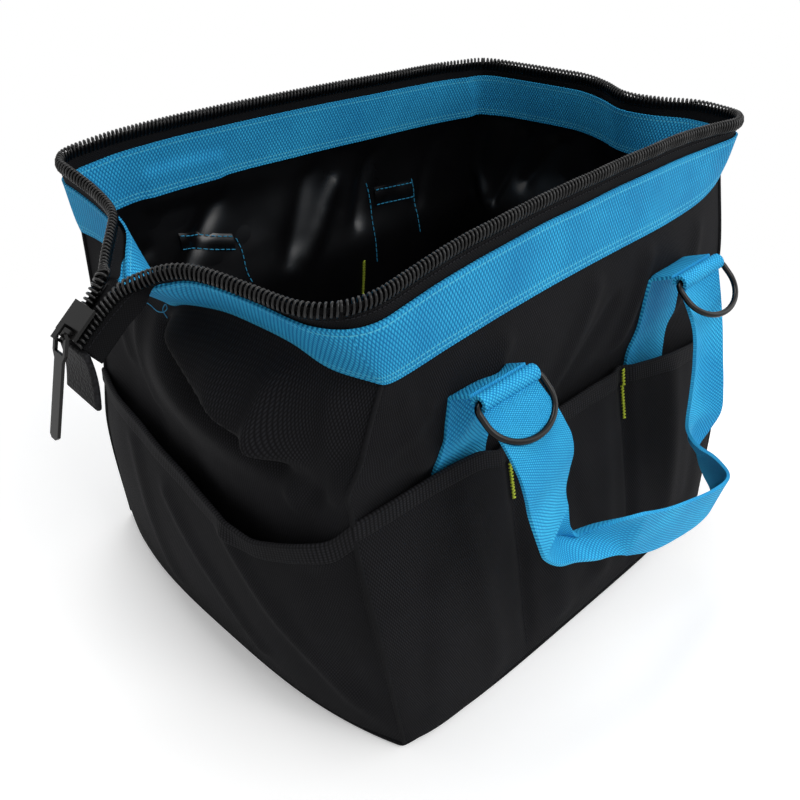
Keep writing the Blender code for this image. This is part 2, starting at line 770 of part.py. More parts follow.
def make_end_tab(material):
    """The folded tab that hangs under the tape's end, clear of where the coils stop."""
    tape_end = TAIL_LENGTH + SEAT_GAP + TAPE_THICKNESS
    top = tail_point(tape_end, 0, -TAPE_THICKNESS / 2).z - SEAT_GAP
    bottom = top - TAB_LENGTH
    beyond = tail_point(TAIL_LENGTH + SEAT_GAP, 0, 0)
    slope = math.tan(math.radians(TAIL_SLOPE))
    near = beyond.x + (beyond.z - top + TAB_FOLD) * slope
    far = near - TAB_THICKNESS
    section = [
        (far, top - TAB_FOLD),
        (far + TAB_FOLD, top),
        (near - TAB_FOLD, top),
        (near, top - TAB_FOLD),
        (near, bottom + TAB_FOLD),
        (near - TAB_FOLD, bottom),
        (far + TAB_FOLD, bottom),
        (far, bottom + TAB_FOLD),
    ]
    low = [Vector((x, -TAB_WIDTH / 2, z)) for x, z in section]
    return prism("zip_end_tab", low, Vector((0, TAB_WIDTH, 0)), material)


def slider_point(along, across, off):
    return tail_point(SLIDER_FROM_MOUTH + along, across, off)


def puller_height():
    """How far the puller's pivot is above the tape: under the bridge, with play round the bar."""
    return COIL_RADIUS + SEAT_GAP + SLIDER_PLATE + PULLER_THICKNESS / math.sqrt(2) + SEAT_GAP


def make_slider(finishes):
    """The zip slider: two plates, the post between the coils, and the bridge for the puller."""
    metal = finishes["black_metal"]
    plate_low = COIL_RADIUS + SEAT_GAP
    plate_top = plate_low + SLIDER_PLATE
    half_width = SLIDER_WIDTH / 2
    half_post = TAIL_COIL_SPACING / 2 - COIL_RADIUS - SEAT_GAP
    section = [
        (-half_width, plate_top),
        (half_width, plate_top),
        (half_width, plate_low),
        (half_post, plate_low),
        (half_post, -plate_low),
        (half_width, -plate_low),
        (half_width, -plate_top),
        (-half_width, -plate_top),
        (-half_width, -plate_low),
        (-half_post, -plate_low),
        (-half_post, plate_low),
        (-half_width, plate_low),
    ]
    start = -SLIDER_LENGTH / 2
    low = [slider_point(start, across, off) for across, off in section]
    length = slider_point(SLIDER_LENGTH, 0, 0) - slider_point(0, 0, 0)
    body = prism("zip_slider", low, length, metal)
    combine(body, make_bridge(plate_low, metal), "UNION")
    return body


def make_bridge(foot, metal):
    """The arch that holds the puller, on a tongue that runs past the plate."""
    start = BRIDGE_START
    end = BRIDGE_START + BRIDGE_LENGTH
    under = puller_height() + PULLER_THICKNESS / math.sqrt(2) + SEAT_GAP
    top = under + BRIDGE_BAR
    tongue = foot + SLIDER_PLATE - SEAT_GAP
    section = [
        (start, foot + SEAT_GAP),
        (start, top),
        (end, top),
        (end, foot + SEAT_GAP),
        (end - BRIDGE_BAR, foot + SEAT_GAP),
        (end - BRIDGE_BAR, under),
        (start + BRIDGE_BAR, under),
        (start + BRIDGE_BAR, foot + SEAT_GAP),
    ]
    low = [slider_point(along, -BRIDGE_WIDTH / 2, off) for along, off in section]
    bridge = prism("zip_slider_bridge", low, Vector((0, BRIDGE_WIDTH, 0)), metal)
    floor = [
        (start, foot + SEAT_GAP),
        (end, foot + SEAT_GAP),
        (end, tongue),
        (start, tongue),
    ]
    low = [slider_point(along, -BRIDGE_WIDTH / 2, off) for along, off in floor]
    combine(bridge, prism("zip_slider_tongue", low, Vector((0, BRIDGE_WIDTH, 0)), metal), "UNION")
    return bridge


def puller_pivot():
    return slider_point(PULLER_FROM_CENTRE, 0, puller_height())


def puller_point(along, across, off):
    """A point on the puller, which hangs a little out from straight down."""
    angle = math.radians(PULLER_HANG)
    pivot = puller_pivot()
    x = pivot.x - along * math.sin(angle) - off * math.cos(angle)
    z = pivot.z - along * math.cos(angle) + off * math.sin(angle)
    return Vector((x, across, z))


def make_puller(finishes):
    """The flat puller: an eye round the slider's bridge and a long strip."""
    half = PULLER_THICKNESS / 2
    half_eye = PULLER_EYE_WIDTH / 2
    half_strip = PULLER_STRIP_WIDTH / 2
    corner = PULLER_RIM
    eye_end = PULLER_EYE_LENGTH
    start = -half
    side = [
        (start, half_eye - corner),
        (start + corner, half_eye),
        (eye_end - corner, half_eye),
        (eye_end + corner, half_strip),
        (PULLER_LENGTH - corner, half_strip),
        (PULLER_LENGTH, half_strip - corner),
    ]
    outline = side + [(along, -across) for along, across in reversed(side)]
    low = [puller_point(along, across, -half) for along, across in outline]
    lift = puller_point(0, 0, half) - puller_point(0, 0, -half)
    puller = prism("zip_puller", low, lift, finishes["black_metal"])
    hole_end = eye_end - PULLER_RIM
    half_hole = half_eye - PULLER_RIM
    hole = [(half, half_hole), (hole_end, half_hole), (hole_end, -half_hole), (half, -half_hole)]
    low = [puller_point(along, across, -PULLER_THICKNESS) for along, across in hole]
    tool = prism("zip_puller_hole", low, 2 * lift, finishes["black_metal"])
    combine(puller, tool, "DIFFERENCE")
    return puller


def build_side(side, finishes):
    """One long wall, its handle and its D-rings, each on its own joint."""
    name = SIDE_NAMES[side]
    wall = add_pivot(f"{name}_wall_pivot", (0, side * hinge_depth, wall_bottom))
    parts = make_wall(side, finishes) + make_pocket(side, finishes)
    parts += make_bartacks(side, finishes) + make_strap_anchors(side, finishes)
    hang_on(wall, parts)
    place = (0, side * ring_depth(), ring_height)
    lift = add_pivot(f"{name}_handle_pivot", place, wall)
    hang_on(lift, [make_handle(side, finishes)])
    for end in (LEFT, RIGHT):
        hang_on(lift, [make_ring(side, end, finishes)])


def build_zip_hardware(finishes):
    """The slider on its run, and the puller that hangs from it."""
    run = add_pivot("zip_slider_pivot", tuple(slider_point(0, 0, 0)))
    hang_on(run, [make_slider(finishes)])
    swing = add_pivot("zip_puller_pivot", tuple(puller_pivot()), run)
    hang_on(swing, [make_puller(finishes)])


def build():
    clear_scene()
    finishes = make_finishes()
    make_base(finishes)
    for end in (LEFT, RIGHT):
        make_end_wall(end, finishes)
        make_end_pocket(end, finishes)
    make_zip_ends(finishes)
    for side in (FRONT, REAR):
        build_side(side, finishes)
    build_zip_hardware(finishes)


build()
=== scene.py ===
"""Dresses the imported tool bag: slumped cloth shells, webbing, coil zip, hardware, light and camera.

Metres, but the tables of points and the sums on them are in millimetres. X runs along the long walls,
the zip's tail is at -X, the front is -Y and +Z is up. A height h is a place on the cloth, measured up
the bag before it slumps. A share s across an end is -1 at its front corner and 1 at its rear one.
"""

import functools
import math

import bmesh
import bpy
from mathutils import Matrix, Vector, noise


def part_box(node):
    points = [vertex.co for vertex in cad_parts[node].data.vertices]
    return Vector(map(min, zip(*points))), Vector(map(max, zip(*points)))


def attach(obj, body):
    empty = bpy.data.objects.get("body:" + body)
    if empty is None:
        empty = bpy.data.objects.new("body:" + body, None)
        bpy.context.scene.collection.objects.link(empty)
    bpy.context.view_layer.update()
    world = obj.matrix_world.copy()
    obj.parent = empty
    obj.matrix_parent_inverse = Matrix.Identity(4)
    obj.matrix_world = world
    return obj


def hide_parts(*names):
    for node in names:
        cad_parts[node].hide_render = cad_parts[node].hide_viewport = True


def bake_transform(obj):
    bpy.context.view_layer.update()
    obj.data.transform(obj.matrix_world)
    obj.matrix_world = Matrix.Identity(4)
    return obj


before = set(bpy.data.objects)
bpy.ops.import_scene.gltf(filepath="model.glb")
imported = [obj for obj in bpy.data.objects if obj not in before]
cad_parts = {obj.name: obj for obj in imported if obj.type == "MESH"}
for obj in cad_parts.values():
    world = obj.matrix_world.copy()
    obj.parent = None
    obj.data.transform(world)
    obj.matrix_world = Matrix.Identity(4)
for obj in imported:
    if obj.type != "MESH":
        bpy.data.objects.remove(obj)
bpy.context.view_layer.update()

MM = 0.001
FRONT, REAR = -1, 1
LEFT, RIGHT = -1, 1
SIDES = {FRONT: "front", REAR: "rear"}
ENDS = {LEFT: "left", RIGHT: "right"}

# The bag, as in the solids
END_X, HALF_END = 0.150, 0.105
BAND_LOW, BAND_HIGH, MOUTH = 0.2093, 0.2413, 0.2515
# The inner band is sewn a little higher, as in the photograph
INNER_BAND = (0.2128, 0.2428)
# Where the cloths start and stop up the bag, and the tape's two edges with the seam between them
WALL_FOOT, POCKET_FOOT, END_FOOT, WALL_TOP = 0.0055, 0.0052, 0.0040, 0.2375
TAPE_LOW, TAPE_SEAM, TAPE_TOP = 0.2360, 0.2462, 0.2506
# How far the tape and the coil stand out from the wall
TAPE_OUT, COIL_OUT = -0.0002, -0.0006
CLOTH, LINED, WEBBING, RIBBON, BINDING = 0.0012, 0.0016, 0.0018, 0.0011, 0.0030
# A pocket's binding reaches from below its rim to just over it, and stands out from the pocket
EDGE_UP, EDGE_OUT = (-0.009, 0.001), 0.0010
# Radii of the sewing thread, the bartack's thread, the coil's core and the bound seam at a corner
THREAD, TACK_THREAD, CORE, CORNER_SEAM = 0.0003, 0.00048, 0.0011, 0.0013
# A bartack's zigzag to each side, and its length
TACK_SWING, TACK_LENGTH = 0.0010, 0.031
# The pitch of the stitches at a pocket's seam and on the lining, and how far the tape's stand off it
POCKET_STITCH, LINING_STITCH, STITCH_OUT = 0.0032, 0.0038, 0.0002
STRAP_X, STRAP_WIDTH = 0.080, 0.038
RING_DEPTH, RING_HEIGHT = 0.12794, 0.1973
RING_TILT = math.radians(51.2)
SEAM_X = 0.050
TAIL_SLOPE = math.radians(40)
TAIL_TOP = Vector((-0.184, 0.0, 0.251))
COIL_PITCH = 0.0024
COIL_TALL, COIL_THICK, COIL_WIRE = 0.0032, 0.0018, 0.0007
TURN_STEPS = 10
# The coil's teeth point up
TEETH_WAY = Vector((0, 0, 0.01))
# In millimetres, as the sums on the cloth are: where the corners and the pockets' seams stand along a wall
CORNER_AT, SEAM_AT = END_X / MM, SEAM_X / MM
# How far slack cloth wanders, in millimetres: walls, their band, ends, pocket rows and end pockets
WALL_SLACK, BAND_SLACK, END_SLACK, ROW_SLACK, END_POCKET_SLACK = 2.2, 0.7, 2.4, 1.8, 2.0
# How far a pocket row is drawn in at its seams and bellies between them, in millimetres
SEAM_DRAW, ROW_BELLY = 3.4, 4.0
# The deepest a long wall may stand at the rolls: below and above them, and the round shoulder to that limit
HELD_LOW, HELD_HIGH, SHOULDER = 121.3, 115.5, 3
EVEN = [k / 5 for k in range(-4, 5)]

# The long walls: depth at each height in the middle, then the mouth's line as x, depth, height
WALL_PROFILE = {
    FRONT: ((0, 112.5), (70, 108), (140, 102.5), (165, 107.5), (190, 110), (209.3, 107), (241.3, 103.5),
            (262, 102.5)),
    REAR: ((0, 112.5), (70, 108), (140, 103), (165, 109.5), (190, 112.5), (209.3, 110.5), (241.3, 105.5),
           (262, 103)),
}
POCKET_PROFILE = ((0, 136), (25, 133.5), (60, 128), (90, 121.5), (120, 114), (140, 109.5), (155, 108.5))
MOUTH_LINE = {
    FRONT: ((-153, 107.5, 254.5), (-143, 106, 255.5), (-128, 104.5, 257.5), (-95, 103, 260), (-40, 101, 261.5),
            (20, 99.5, 261.5), (75, 97.5, 260), (110, 95, 258), (140, 95.5, 256), (152, 98, 253.5)),
    REAR: ((-150, 114.5, 257), (-138, 115, 258.5), (-118, 114.5, 259.5), (-60, 114.5, 257.5), (5, 110, 255.5),
           (82, 102, 253), (115, 99.5, 252), (133, 94, 252), (142, 86, 252)),
}
# The rim of a pocket row, as x, height
RIM_LINE = ((-153, 146), (-110, 150), (-75, 147), (-53, 139), (-10, 142), (47, 140), (85, 134), (125, 127),
            (152, 124))
# The four corner seams, at HEIGHTS
HEIGHTS = (0, 80, 143, 180, 209.3, 251.5)
CORNERS = {
    (LEFT, FRONT): ((-141, -128, 0), (-151, -120, 81), (-152.5, -104.5, 145), (-147, -105.5, 182),
                    (-134, -104, 214), (-158.5, -107.5, 254.5)),
    (LEFT, REAR): ((-142, 130, 0), (-150, 122, 81), (-152, 106, 140), (-150, 108, 182),
                   (-150, 107, 217), (-158.5, 114, 257)),
    (RIGHT, FRONT): ((141, -128, 0), (151, -120, 81), (152.5, -104.5, 141), (153, -101, 180),
                     (160, -88, 221), (160, -99.5, 253.5)),
    (RIGHT, REAR): ((141, 128, 0), (151, 120, 81), (152, 104, 143), (150, 98, 182),
                    (148, 92, 213), (142, 86, 253)),
}
# The ends between their corner seams: a row for each of HEIGHTS, as share across, distance out, height
BASE_ROW = [(s, 142 + 18 * (1 - abs(s) ** 3), 0) for s in EVEN]
END_ROWS = {
    LEFT: (
        BASE_ROW,
        list(zip(EVEN, (154, 156, 157.5, 158, 158, 158, 157, 156, 154), [80.5] * 9)),
        list(zip(EVEN, (158, 163, 165, 166, 165, 162, 158, 155, 153), [143] * 9)),
        list(zip(EVEN, (158, 168, 174, 176, 176, 170, 162, 156, 152), [181] * 9)),
        [(-0.8, 143, 216), (-0.6, 146, 220.5), (-0.4, 149.5, 222.5), (-0.25, 153, 223.5), (-0.12, 156, 222),
         (0, 158, 219), (0.12, 157, 213), (0.25, 155, 210.5), (0.4, 151.5, 211), (0.6, 150, 214), (0.8, 150, 218)],
        [(-0.93, 161.5, 254.5), (-0.8, 165, 254), (-0.6, 169, 254.2), (-0.4, 174, 254.8), (-0.25, 180, 253.3),
         (-0.12, 189, 246.5), (0, 192, 242), (0.12, 190, 241.5), (0.25, 178, 245.5), (0.4, 164.5, 249.5),
         (0.6, 159.5, 252.5), (0.8, 159.5, 256)],
    ),
    RIGHT: (
        BASE_ROW,
        list(zip(EVEN, (154, 156, 157.5, 158, 158, 158, 157, 156, 153.5), [80.5] * 9)),
        list(zip(EVEN, (157, 160, 161, 162, 162, 161, 160, 158, 155), [143] * 9)),
        list(zip(EVEN, (166, 170, 171, 171, 172, 172, 170, 165, 158), [181] * 9)),
        list(zip(EVEN, (168, 168, 164, 164, 170, 172, 169, 164, 158),
                 (213, 212.5, 212, 212, 212.5, 213, 213, 213, 213))),
        [(-0.93, 167, 252.5)] + list(zip(EVEN, (172.5, 172.5, 161, 155, 162, 164, 160, 155, 150),
                                         (251.5, 251, 250.8, 251, 251.5, 252, 252, 252, 252))),
    ),
}
# How far each corner of the mouth is rounded off, in millimetres, and its seam under the band
SHARP = 2
ROUNDING = {(LEFT, FRONT): 22, (LEFT, REAR): 15, (RIGHT, FRONT): 12, (RIGHT, REAR): 16}
# The end pocket's rim, as share across, distance out, height
END_RIM = ((-1, 152.5, 146), (-0.9, 159, 134), (-0.8, 166, 130), (-0.62, 171, 122.5), (-0.5, 174, 119),
           (-0.35, 175, 120), (-0.15, 173, 121.6), (0.07, 171, 124.6), (0.3, 168, 127), (0.6, 164, 130),
           (0.85, 158, 129), (1, 152, 131))
# Soft ridges and hollows in the cloth: from, to, how far it stands out, half its width
WALL_FOLDS = (((-60, 204), (-92, 168), 3.2, 6), ((12, 206), (-16, 152), 3.2, 7), ((62, 206), (44, 160), 2.8, 6),
              ((-128, 200), (-108, 156), 3.6, 6), ((118, 202), (104, 158), 2.8, 6), ((30, 190), (0, 150), -2.6, 6),
              ((-134, 176), (-112, 190), 2.4, 5))
END_FOLDS = (((-88, 207), (-97, 158), 3.6, 5), ((-60, 207), (-80, 152), 3.2, 5), ((-99, 180), (-84, 150), -3.4, 4),
             ((-36, 206), (-58, 170), 2.6, 6), ((50, 200), (36, 150), 3.0, 7), ((84, 204), (70, 160), 2.6, 6))
POCKET_FOLDS = (((-30, 124), (-20, 20), 2.0, 9), ((28, 126), (18, 30), 1.8, 9), ((-92, 128), (-76, 15), 2.2, 9),
                ((-122, 104), (-136, 18), -2.2, 8), ((95, 118), (84, 20), 2.0, 9), ((124, 108), (116, 30), -1.8, 9),
                ((-8, 100), (4, 40), -1.8, 8))
END_POCKET_FOLDS = (((-37, 112), (-123, 10), 3.2, 6), ((22, 100), (-48, 34), 2.6, 7),
                    ((-90, 112), (-108, 40), -2.4, 7), ((60, 110), (40, 20), 2.0, 8))


# Small sums

def mix(low, high, share):
    return low + (high - low) * share


def smooth(share):
    share = max(0.0, min(1.0, share))
    return share * share * (3 - 2 * share)


def bump(value, middle, width):
    return math.exp(-((value - middle) / width) ** 2)


def through(knots, at):
    """A smooth curve through (place, value) knots, level past its ends."""
    if at <= knots[0][0]:
        return knots[0][1]
    if at >= knots[-1][0]:
        return knots[-1][1]
    here = next(k for k in range(1, len(knots)) if at < knots[k][0]) - 1
    slopes = []
    for k in (here, here + 1):
        low, high = knots[max(0, k - 1)], knots[min(len(knots) - 1, k + 1)]
        slopes.append((high[1] - low[1]) / (high[0] - low[0]))
    (a, p), (b, q) = knots[here], knots[here + 1]
    t = (at - a) / (b - a)
    return (p * (2 * t ** 3 - 3 * t * t + 1) + q * (3 * t * t - 2 * t ** 3)
            + (b - a) * (slopes[0] * (t ** 3 - 2 * t * t + t) + slopes[1] * (t ** 3 - t * t)))


def run_through(points, share):
    """A point on a smooth line through points."""
    scaled = share * (len(points) - 1)
    here = max(0, min(len(points) - 2, int(scaled)))
    near = [(k, points[k]) for k in range(max(0, here - 1), min(len(points), here + 3))]
    return Vector([through([(k, p[axis]) for k, p in near], scaled) for axis in range(3)])


def folds(lines, across, height):
    """How far the cloth stands out at a place, from its ridges and hollows."""
    total = 0.0
    for (a0, z0), (a1, z1), out, width in lines:
        along, up = a1 - a0, z1 - z0
        share = max(0.0, min(1.0, ((across - a0) * along + (height - z0) * up) / (along ** 2 + up ** 2)))
        away = math.hypot(across - a0 - share * along, height - z0 - share * up)
        total += out * math.exp(-(away / width) ** 2)
    return total


# The shape of the bag

def climb(points, h):
    """A point, in millimetres, on an upright line given at HEIGHTS; the stiff band is straight."""
    if h > HEIGHTS[-2]:
        return points[-2].lerp(points[-1], (h - HEIGHTS[-2]) / (HEIGHTS[-1] - HEIGHTS[-2]))
    return Vector([through(list(zip(HEIGHTS[:-1], [p[k] for p in points[:-1]])), h) for k in range(3)])


def pinch(end, side, h):
    """The slack front left corner is pinched out just above the pockets."""
    return -4.5 * bump(h, 163, 9) if (end, side) == (LEFT, FRONT) else 0.0


@functools.lru_cache(maxsize=None)
def corner(end, side, h):
    place = climb([Vector(p) for p in CORNERS[end, side]], h)
    place.x += pinch(end, side, h)
    return place


@functools.lru_cache(maxsize=None)
def mouth_shift(side, x):
    """How far the mouth's line stands from the plain profile, in depth and height."""
    line = MOUTH_LINE[side]
    return (through([(p[0], p[1]) for p in line], x) - through(WALL_PROFILE[side], HEIGHTS[-1]),
            through([(p[0], p[2]) for p in line], x) - HEIGHTS[-1])


def reach(end, side, h):
    """How far from the tip of a corner its rounding starts: the mouth is round, the seam below sharp."""
    return mix(SHARP, ROUNDING[end, side], smooth((h / MM - 209) / 42)) * MM


def cut_corner(before, tip, after, share):
    """A point on the curve that cuts a corner; share is 0.5 in its middle."""
    return before * (1 - share) ** 2 + tip * 2 * share * (1 - share) + after * share ** 2


def long_wall(side, x, h, out=0.0):
    """A point on a long wall's outer face."""
    end = LEFT if x < 0 else RIGHT
    near = reach(end, side, h)
    past = (abs(x) - END_X + near) / near
    if past <= 0 or h < BAND_LOW:
        return sharp_long_wall(side, x, h, out)
    return cut_corner(sharp_long_wall(side, end * (END_X - near), h, out),
                      sharp_long_wall(side, end * END_X, h, out),
                      sharp_end_wall(end, side * (1 - near / HALF_END), h, out), past / 2)


def end_wall(end, s, h, out=0.0):
    """A point on an end wall's outer face."""
    side = FRONT if s < 0 else REAR
    near = reach(end, side, h)
    past = 1 - (1 - abs(s)) * HALF_END / near
    if past <= 0 or h < BAND_LOW:
        return sharp_end_wall(end, s, h, out)
    return cut_corner(sharp_end_wall(end, side * (1 - near / HALF_END), h, out),
                      sharp_long_wall(side, end * END_X, h, out),
                      sharp_long_wall(side, end * (END_X - near), h, out), past / 2)


def held_in(x, h, y):
    """The depth of a long wall, kept clear of the rolls and rings: beside and above them it may stand deeper."""
    limit = mix(HELD_LOW, HELD_HIGH, smooth((h - 196) / 12)) + 8 * smooth((abs(abs(x) - STRAP_X / MM) - 22) / 16)
    limit += 30 * smooth((h - 226) / 14)
    over = max(-SHOULDER, min(SHOULDER, y - limit))
    return min(y, limit + SHOULDER) - (over + SHOULDER) ** 2 / (4 * SHOULDER)


def sharp_long_wall(side, x, h, out):
    """A point on a long wall before its corners are rounded."""
    x, h, out = x / MM, h / MM, out / MM
    share = min(1.0, abs(x) / CORNER_AT)
    end = LEFT if x < 0 else RIGHT
    edge_share = share ** 6
    edge = corner(end, side, round(h, 3))
    deeper, higher = mouth_shift(side, round(x, 3))
    # The mouth's line takes over from the plain profile above the pockets
    y = through(WALL_PROFILE[side], h) + smooth((h - 150) / 90) * deeper
    z = h + smooth((h - 150) / 55) * higher
    # The cloth is slack between the pockets and the band, and wavers a little where the band is sewn on
    loose = smooth((h - 132) / 30) * (1 - smooth((h - 196) / 14)) * (1 - edge_share)
    y += loose * (folds(WALL_FOLDS, x, z)
                  + WALL_SLACK * noise.noise(Vector((x * 0.022, z * 0.02, side * 3.1))))
    y = held_in(x, h, y)
    band = smooth((h - 205) / 10) * (1 - edge_share)
    y += band * BAND_SLACK * noise.noise(Vector((x * 0.03, z * 0.03, side * 9.0)))
    place = Vector((x + (edge.x - end * CORNER_AT) * edge_share, mix(y, abs(edge.y), edge_share),
                    mix(z, edge.z, edge_share)))
    return Vector((place.x + end * out * edge_share, side * (place.y + out), place.z)) * MM


@functools.lru_cache(maxsize=None)
def end_upright(end, s):
    """The upright line of points at a share across an end, one for each of HEIGHTS."""
    points = []
    for k, row in enumerate(END_ROWS[end]):
        first, last = CORNERS[end, FRONT][k], CORNERS[end, REAR][k]
        full = [(-1, abs(first[0]), first[2])] + list(row) + [(1, abs(last[0]), last[2])]
        points.append(Vector((end * through([(p[0], p[1]) for p in full], s),
                              s * abs(first[1] if s < 0 else last[1]),
                              through([(p[0], p[2]) for p in full], s))))
    return points


def pleat(y, z):
    """The slack front of the left end: a long slanted pleat, the hollow under it and a second fold."""
    away = (z - 209.6 - 0.4 * y) / 1.077
    held = smooth((30 - y) / 26) * (1 - smooth((-y - 66) / 26))
    ridge = 11 * bump(away, 0, 18 if away > 0 else 6) - 12 * bump(away, -16, 9)
    second = 4 * bump(y, -62 - 12 * (218 - z) / 78, 5) * smooth((z - 136) / 14) * (1 - smooth((z - 205) / 14))
    return held * ridge + second


def sharp_end_wall(end, s, h, out):
    """A point on an end wall before its corners are rounded."""
    h, out = h / MM, out / MM
    place = climb(end_upright(end, round(s, 5)), h)
    # The cloth is free away from the corner seams, and slack from above the bottom to below the band
    free = 1 - s ** 8
    loose = free * smooth((h - 20) / 50) * (1 - smooth((h - 198) / 12))
    standing = END_SLACK * noise.noise(Vector((s * 3.2, h * 0.02, end * 1.7)))
    standing += smooth((h - 132) / 20) * folds(END_FOLDS, place.y * end * -1, place.z)
    if end == LEFT:
        standing += pleat(place.y, place.z) * smooth((h - 110) / 30)
    place.x += end * loose * standing
    side = FRONT if s < 0 else REAR
    place.x += pinch(end, side, h) * abs(s) ** 8
    return Vector((place.x + end * out, place.y + side * out * abs(s) ** 6, place.z)) * MM


def rim_height(x):
    """The height of a pocket row's rim."""
    return through(RIM_LINE, x / MM) * MM


def pocket_face(side, x, z, out=0.0):
    """A point on the outer face of a pocket row, drawn in at its two seams."""
    x, z, out = x / MM, z / MM, out / MM
    share = min(1.0, abs(x) / CORNER_AT)
    end = LEFT if x < 0 else RIGHT
    edge_share = share ** 8
    edge = corner(end, side, round(z, 3))
    seam = bump(abs(x), SEAM_AT, 5) * smooth(z / 40)
    belly = ROW_BELLY * (1 - bump(abs(x), SEAM_AT, 28)) * math.sin(math.pi * min(1, z / 155)) * (1 - edge_share)
    y = through(POCKET_PROFILE, z) - SEAM_DRAW * seam + belly
    low = smooth((z - 4) / 20) * (1 - edge_share)
    y += low * (folds(POCKET_FOLDS, x, z)
                + ROW_SLACK * noise.noise(Vector((x * 0.018, z * 0.010, side * 5.0))))
    return Vector((x + (edge.x - end * CORNER_AT) * edge_share + end * (out + 0.6) * edge_share,
                   side * (mix(y, abs(edge.y) + 0.6, edge_share) + out), z)) * MM


@functools.lru_cache(maxsize=None)
def end_rim(s):
    """How far out and how high an end pocket's rim is."""
    return through([(p[0], p[1]) for p in END_RIM], s), through([(p[0], p[2]) for p in END_RIM], s)


def end_pocket_face(end, s, up, out=0.0):
    """A point on an end pocket, whose rim dips and gapes in the middle."""
    s = round(s, 5)
    out = out / MM
    rim_x, rim_z = end_rim(s)
    base = end_upright(end, s)[0]
    z = mix(4, rim_z, up)
    free = 1 - s ** 8
    depth = corner(end, FRONT if s < 0 else REAR, round(z, 3)).y
    x = mix(abs(base.x), rim_x, up ** 0.8) + 5 * free * math.sin(math.pi * min(1, up * 1.02)) * (1 - s * s)
    y = abs(s) * depth
    low = free * smooth(up * 5)
    x += low * (folds(END_POCKET_FOLDS, y * end * -1, z)
                + END_POCKET_SLACK * noise.noise(Vector((s * 2.6, up * 2.2, end * 2.0))))
    side = FRONT if s < 0 else REAR
    return Vector((end * (x + 1.0 + out), y + side * (out + 0.6) * abs(s) ** 8, z)) * MM


def tail_point(down, across, off=0.0):
    """A point on the tail, this far down it, across it and off its face."""
    return TAIL_TOP + Vector((-down * math.cos(TAIL_SLOPE) - off * math.sin(TAIL_SLOPE), across,
                              -down * math.sin(TAIL_SLOPE) + off * math.cos(TAIL_SLOPE)))


# Meshes

def finish_mesh(name, bm, materials):
    """Turns a bmesh into a piece at the origin."""
    mesh = bpy.data.meshes.new(name)
    bm.to_mesh(mesh)
    bm.free()
    for material in materials:
        mesh.materials.append(material)
    mesh.shade_smooth()
    piece = bpy.data.objects.new(name, mesh)
    bpy.context.collection.objects.link(piece)
    return piece


def cloth(name, place, columns, rows, width, height, materials, flip=False):
    """A shell of cloth: a grid laid by place(u, v), with its map in metres of the flat cloth."""
    bm = bmesh.new()
    bmesh.ops.create_grid(bm, x_segments=columns, y_segments=rows, size=0.5)
    layer = bm.loops.layers.uv.new("map")
    for face in bm.faces:
        for loop in face.loops:
            loop[layer].uv = ((loop.vert.co.x + 0.5) * width, (loop.vert.co.y + 0.5) * height)
    for vert in bm.verts:
        vert.co = place(vert.co.x + 0.5, vert.co.y + 0.5)
    if flip:
        bmesh.ops.reverse_faces(bm, faces=bm.faces)
    return finish_mesh(name, bm, materials)


def settle(piece):
    """The piece's mesh with its modifiers applied."""
    bpy.context.view_layer.update()
    return bpy.data.meshes.new_from_object(piece.evaluated_get(bpy.context.evaluated_depsgraph_get()))


def thicken(piece, thickness, lined=False, soften=0):
    """Gives a shell its thickness inwards, with the lining on its inner face and crisp rims."""
    solid = piece.modifiers.new("thickness", "SOLIDIFY")
    solid.thickness = thickness
    solid.offset = -1
    if lined:
        solid.material_offset = 1
    if soften:
        rounded = piece.modifiers.new("rounded", "SUBSURF")
        rounded.levels = rounded.render_levels = soften
    piece.data = settle(piece)
    piece.modifiers.clear()
    if not soften:
        piece.data.set_sharp_from_angle(angle=math.radians(60))
    return piece


def carry(piece, bodies, replaces=()):
    """Has a piece ride on one body; a piece between the base and a long wall only has its place baked into its mesh.
    """
    if len(bodies) == 1:
        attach(piece, bodies[0])
    else:
        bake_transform(piece)
    if replaces:
        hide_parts(*replaces)
    return piece


def sew(name, place, grid, flat, stuff, thickness, bodies, replaces=(), flip=False, soften=0):
    """A piece of cloth, from its grid to its body: stuff is its material, or its cloth and its lining."""
    piece = thicken(cloth(name, place, *grid, *flat, stuff, flip), thickness, len(stuff) == 2, soften)
    return carry(piece, bodies, replaces)


def tube(name, runs, radius, material, closed=False, sides=2):
    """Round tubes along runs of points, as one mesh."""
    curve = bpy.data.curves.new(name, "CURVE")
    curve.dimensions = "3D"
    curve.bevel_depth = radius
    curve.bevel_resolution = sides
    curve.use_fill_caps = True
    for points in runs:
        spline = curve.splines.new("POLY")
        spline.points.add(len(points) - 1)
        for at, point in zip(spline.points, points):
            at.co = (*point, 1)
        spline.use_cyclic_u = closed
        spline.use_smooth = True
    made = bpy.data.objects.new(name, curve)
    bpy.context.collection.objects.link(made)
    mesh = settle(made)
    bpy.data.objects.remove(made)
    mesh.name = name
    mesh.materials.clear()
    mesh.materials.append(material)
    piece = bpy.data.objects.new(name, mesh)
    bpy.context.collection.objects.link(piece)
    return piece


def even(points, step):
    """The same line in even steps."""
    lengths = [0.0]
    for a, b in zip(points, points[1:]):
        lengths.append(lengths[-1] + (b - a).length)
    count = max(2, int(lengths[-1] / step))
    made, here = [], 0
    for k in range(count + 1):
        want = lengths[-1] * k / count
        while here < len(points) - 2 and lengths[here + 1] < want:
            here += 1
        span = lengths[here + 1] - lengths[here]
        made.append(points[here].lerp(points[here + 1], (want - lengths[here]) / max(span, 1e-9)))
    return made


